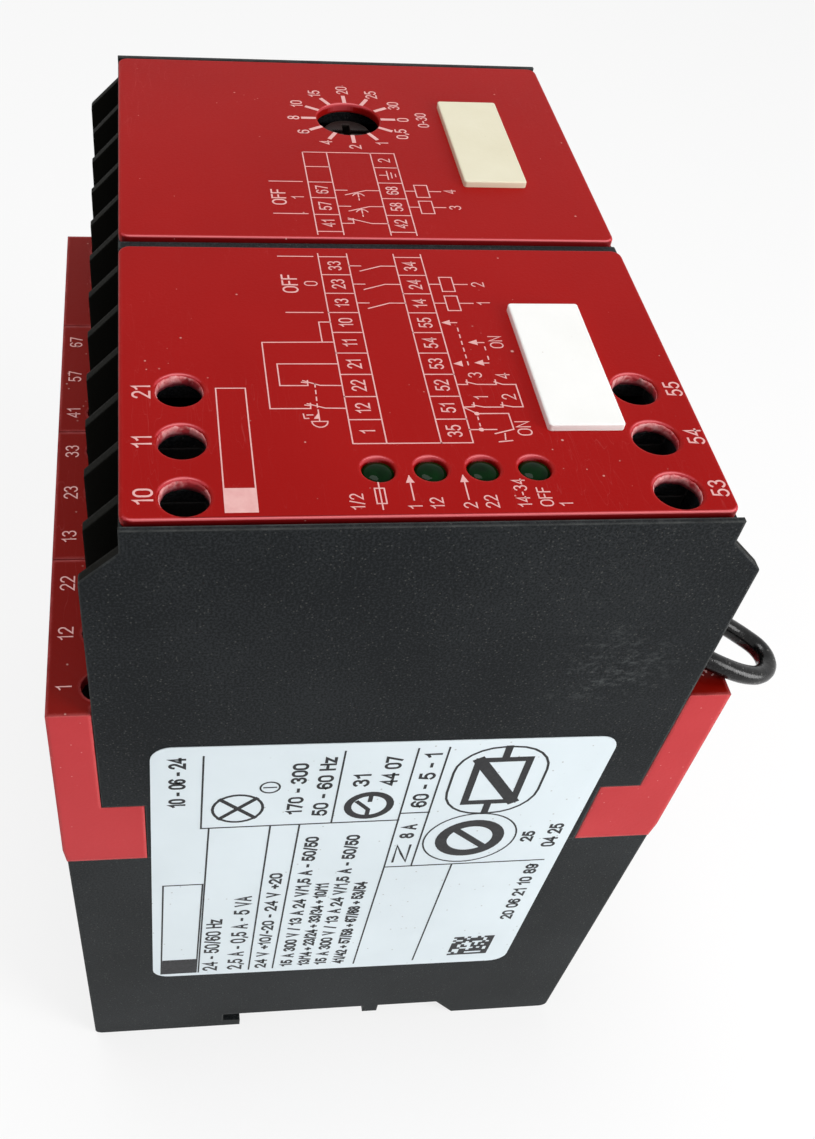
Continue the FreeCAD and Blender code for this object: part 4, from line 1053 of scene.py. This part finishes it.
line = bpy.data.curves.new("jumper", "CURVE")
line.dimensions = "3D"
line.bevel_depth = WIRE / 2 * MM
line.bevel_resolution = 6
line.resolution_u = 10
line.use_fill_caps = True
spline = line.splines.new("NURBS")
spline.points.add(len(ROUTE) - 1)
for point, place in zip(spline.points, ROUTE):
    point.co = (*(c * MM for c in place), 1)
spline.order_u = 3
spline.use_endpoint_u = True
# soft insulation, rubbed grey where it has touched the wall
jumper = mesh_piece("jumper", line, layered(
    "wire_black", (6, 6, 7), (12, 12, 12), (1600, 140),
    [(rubs, {"Scale": 160, "Sharpness": 0.06, "Cover": 0.6}, 0.5, (96, 96, 98)),
     (dust, {"Scale": 1500, "Size": 0.25, "Cover": 0.55}, 0.25, (140, 138, 134))],
    (0.12, 0.28), 0.00004, 0.24))
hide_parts("jumper_wire")
dress(small_part("ferrule_black", (24, 24, 26), (32, 32, 34), 0.3), "jumper_ferrules")


# ---------------------------------------------------------------- studio
# A white sweep, a soft lamp low on the left and lower side with a small one
# nearer the terminals, a weaker one above, and a lens close to the front.
scene = bpy.context.scene
scene.view_settings.view_transform = "Standard"
lens = bpy.data.cameras.new("camera")
lens.sensor_width, lens.lens, lens.clip_start = 36, 36.82, 0.01
lens.shift_x, lens.shift_y = 0.1043, 0.0871
camera = bpy.data.objects.new("camera", lens)
scene.collection.objects.link(camera)
CAMERA_PLACE = (-0.11784, 0.02522, 0.18626)
RIGHT_AXIS = Vector((-0.08991335, -0.99368762, 0.06708586))
DOWN_AXIS = Vector((-0.7829417, 0.02889052, -0.62142387))
AHEAD_AXIS = Vector((0.61556306, -0.10839862, -0.78059712))
turn = Matrix((RIGHT_AXIS, -DOWN_AXIS, -AHEAD_AXIS)).transposed()
camera.matrix_world = Matrix.Translation(CAMERA_PLACE) @ turn.to_4x4()
scene.camera = camera


def soft_lamp(name, place, aim, size, power):
    """A round area lamp that looks at its aim."""
    lamp = bpy.data.lights.new(name, "AREA")
    lamp.shape = "DISK"
    lamp.size = size
    lamp.energy = power
    holder = bpy.data.objects.new(name, lamp)
    scene.collection.objects.link(holder)
    holder.location = place
    holder.rotation_euler = (Vector(aim) - Vector(place)).to_track_quat("-Z", "Y").to_euler()


soft_lamp("key", (-0.33, -0.42, 0.30), (0, 0, 0.05), 0.28, 1.8)
soft_lamp("side", (-0.17, -0.30, 0.10), (-0.045, -0.04, 0.05), 0.14, 0.36)
soft_lamp("top", (0.15, 0.10, 0.95), (0, 0, 0.05), 0.45, 3.6)


def unseen_ray(tree):
    """1 for rays from the camera, off gloss and through glass, else 0."""
    ray = new_node(tree, "LightPath").outputs
    seen = math_node(tree, "MAXIMUM", ray["Is Camera Ray"], ray["Is Glossy Ray"])
    return math_node(tree, "MAXIMUM", seen, ray["Is Transmission Ray"])


world = bpy.data.worlds.new("studio")
scene.world = world
world.use_nodes = True
sky = world.node_tree
glow = sky.nodes["Background"]
put(sky, glow.inputs["Strength"], band(sky, unseen_ray(sky), 0, 1, 0.36, 1))
glow.inputs["Color"].default_value = (1, 1, 1, 1)

FLOOR_HALF, FLOOR_LEVEL = 3, -0.0002
floor_mesh = bpy.data.meshes.new("floor")
floor_mesh.from_pydata([(x * FLOOR_HALF, y * FLOOR_HALF, FLOOR_LEVEL)
                        for x, y in ((-1, -1), (1, -1), (1, 1), (-1, 1))], [], [(0, 1, 2, 3)])
sweep, tree = new_material("sweep")
shader = tree.nodes["Principled BSDF"]
for label, value in (("Base Color", paint(244, 244, 244)), ("Roughness", 0.9),
                     ("Specular IOR Level", 0)):
    shader.inputs[label].default_value = value
white = new_node(tree, "Emission", Strength=1)
blend = new_node(tree, "MixShader", Fac=band(tree, unseen_ray(tree), 0, 1, 0, 0.78))
put(tree, blend.inputs[1], shader.outputs["BSDF"])
put(tree, blend.inputs[2], white.outputs["Emission"])
put(tree, tree.nodes["Material Output"].inputs["Surface"], blend.outputs["Shader"])
floor_mesh.materials.append(sweep)
floor = bpy.data.objects.new("floor", floor_mesh)
scene.collection.objects.link(floor)
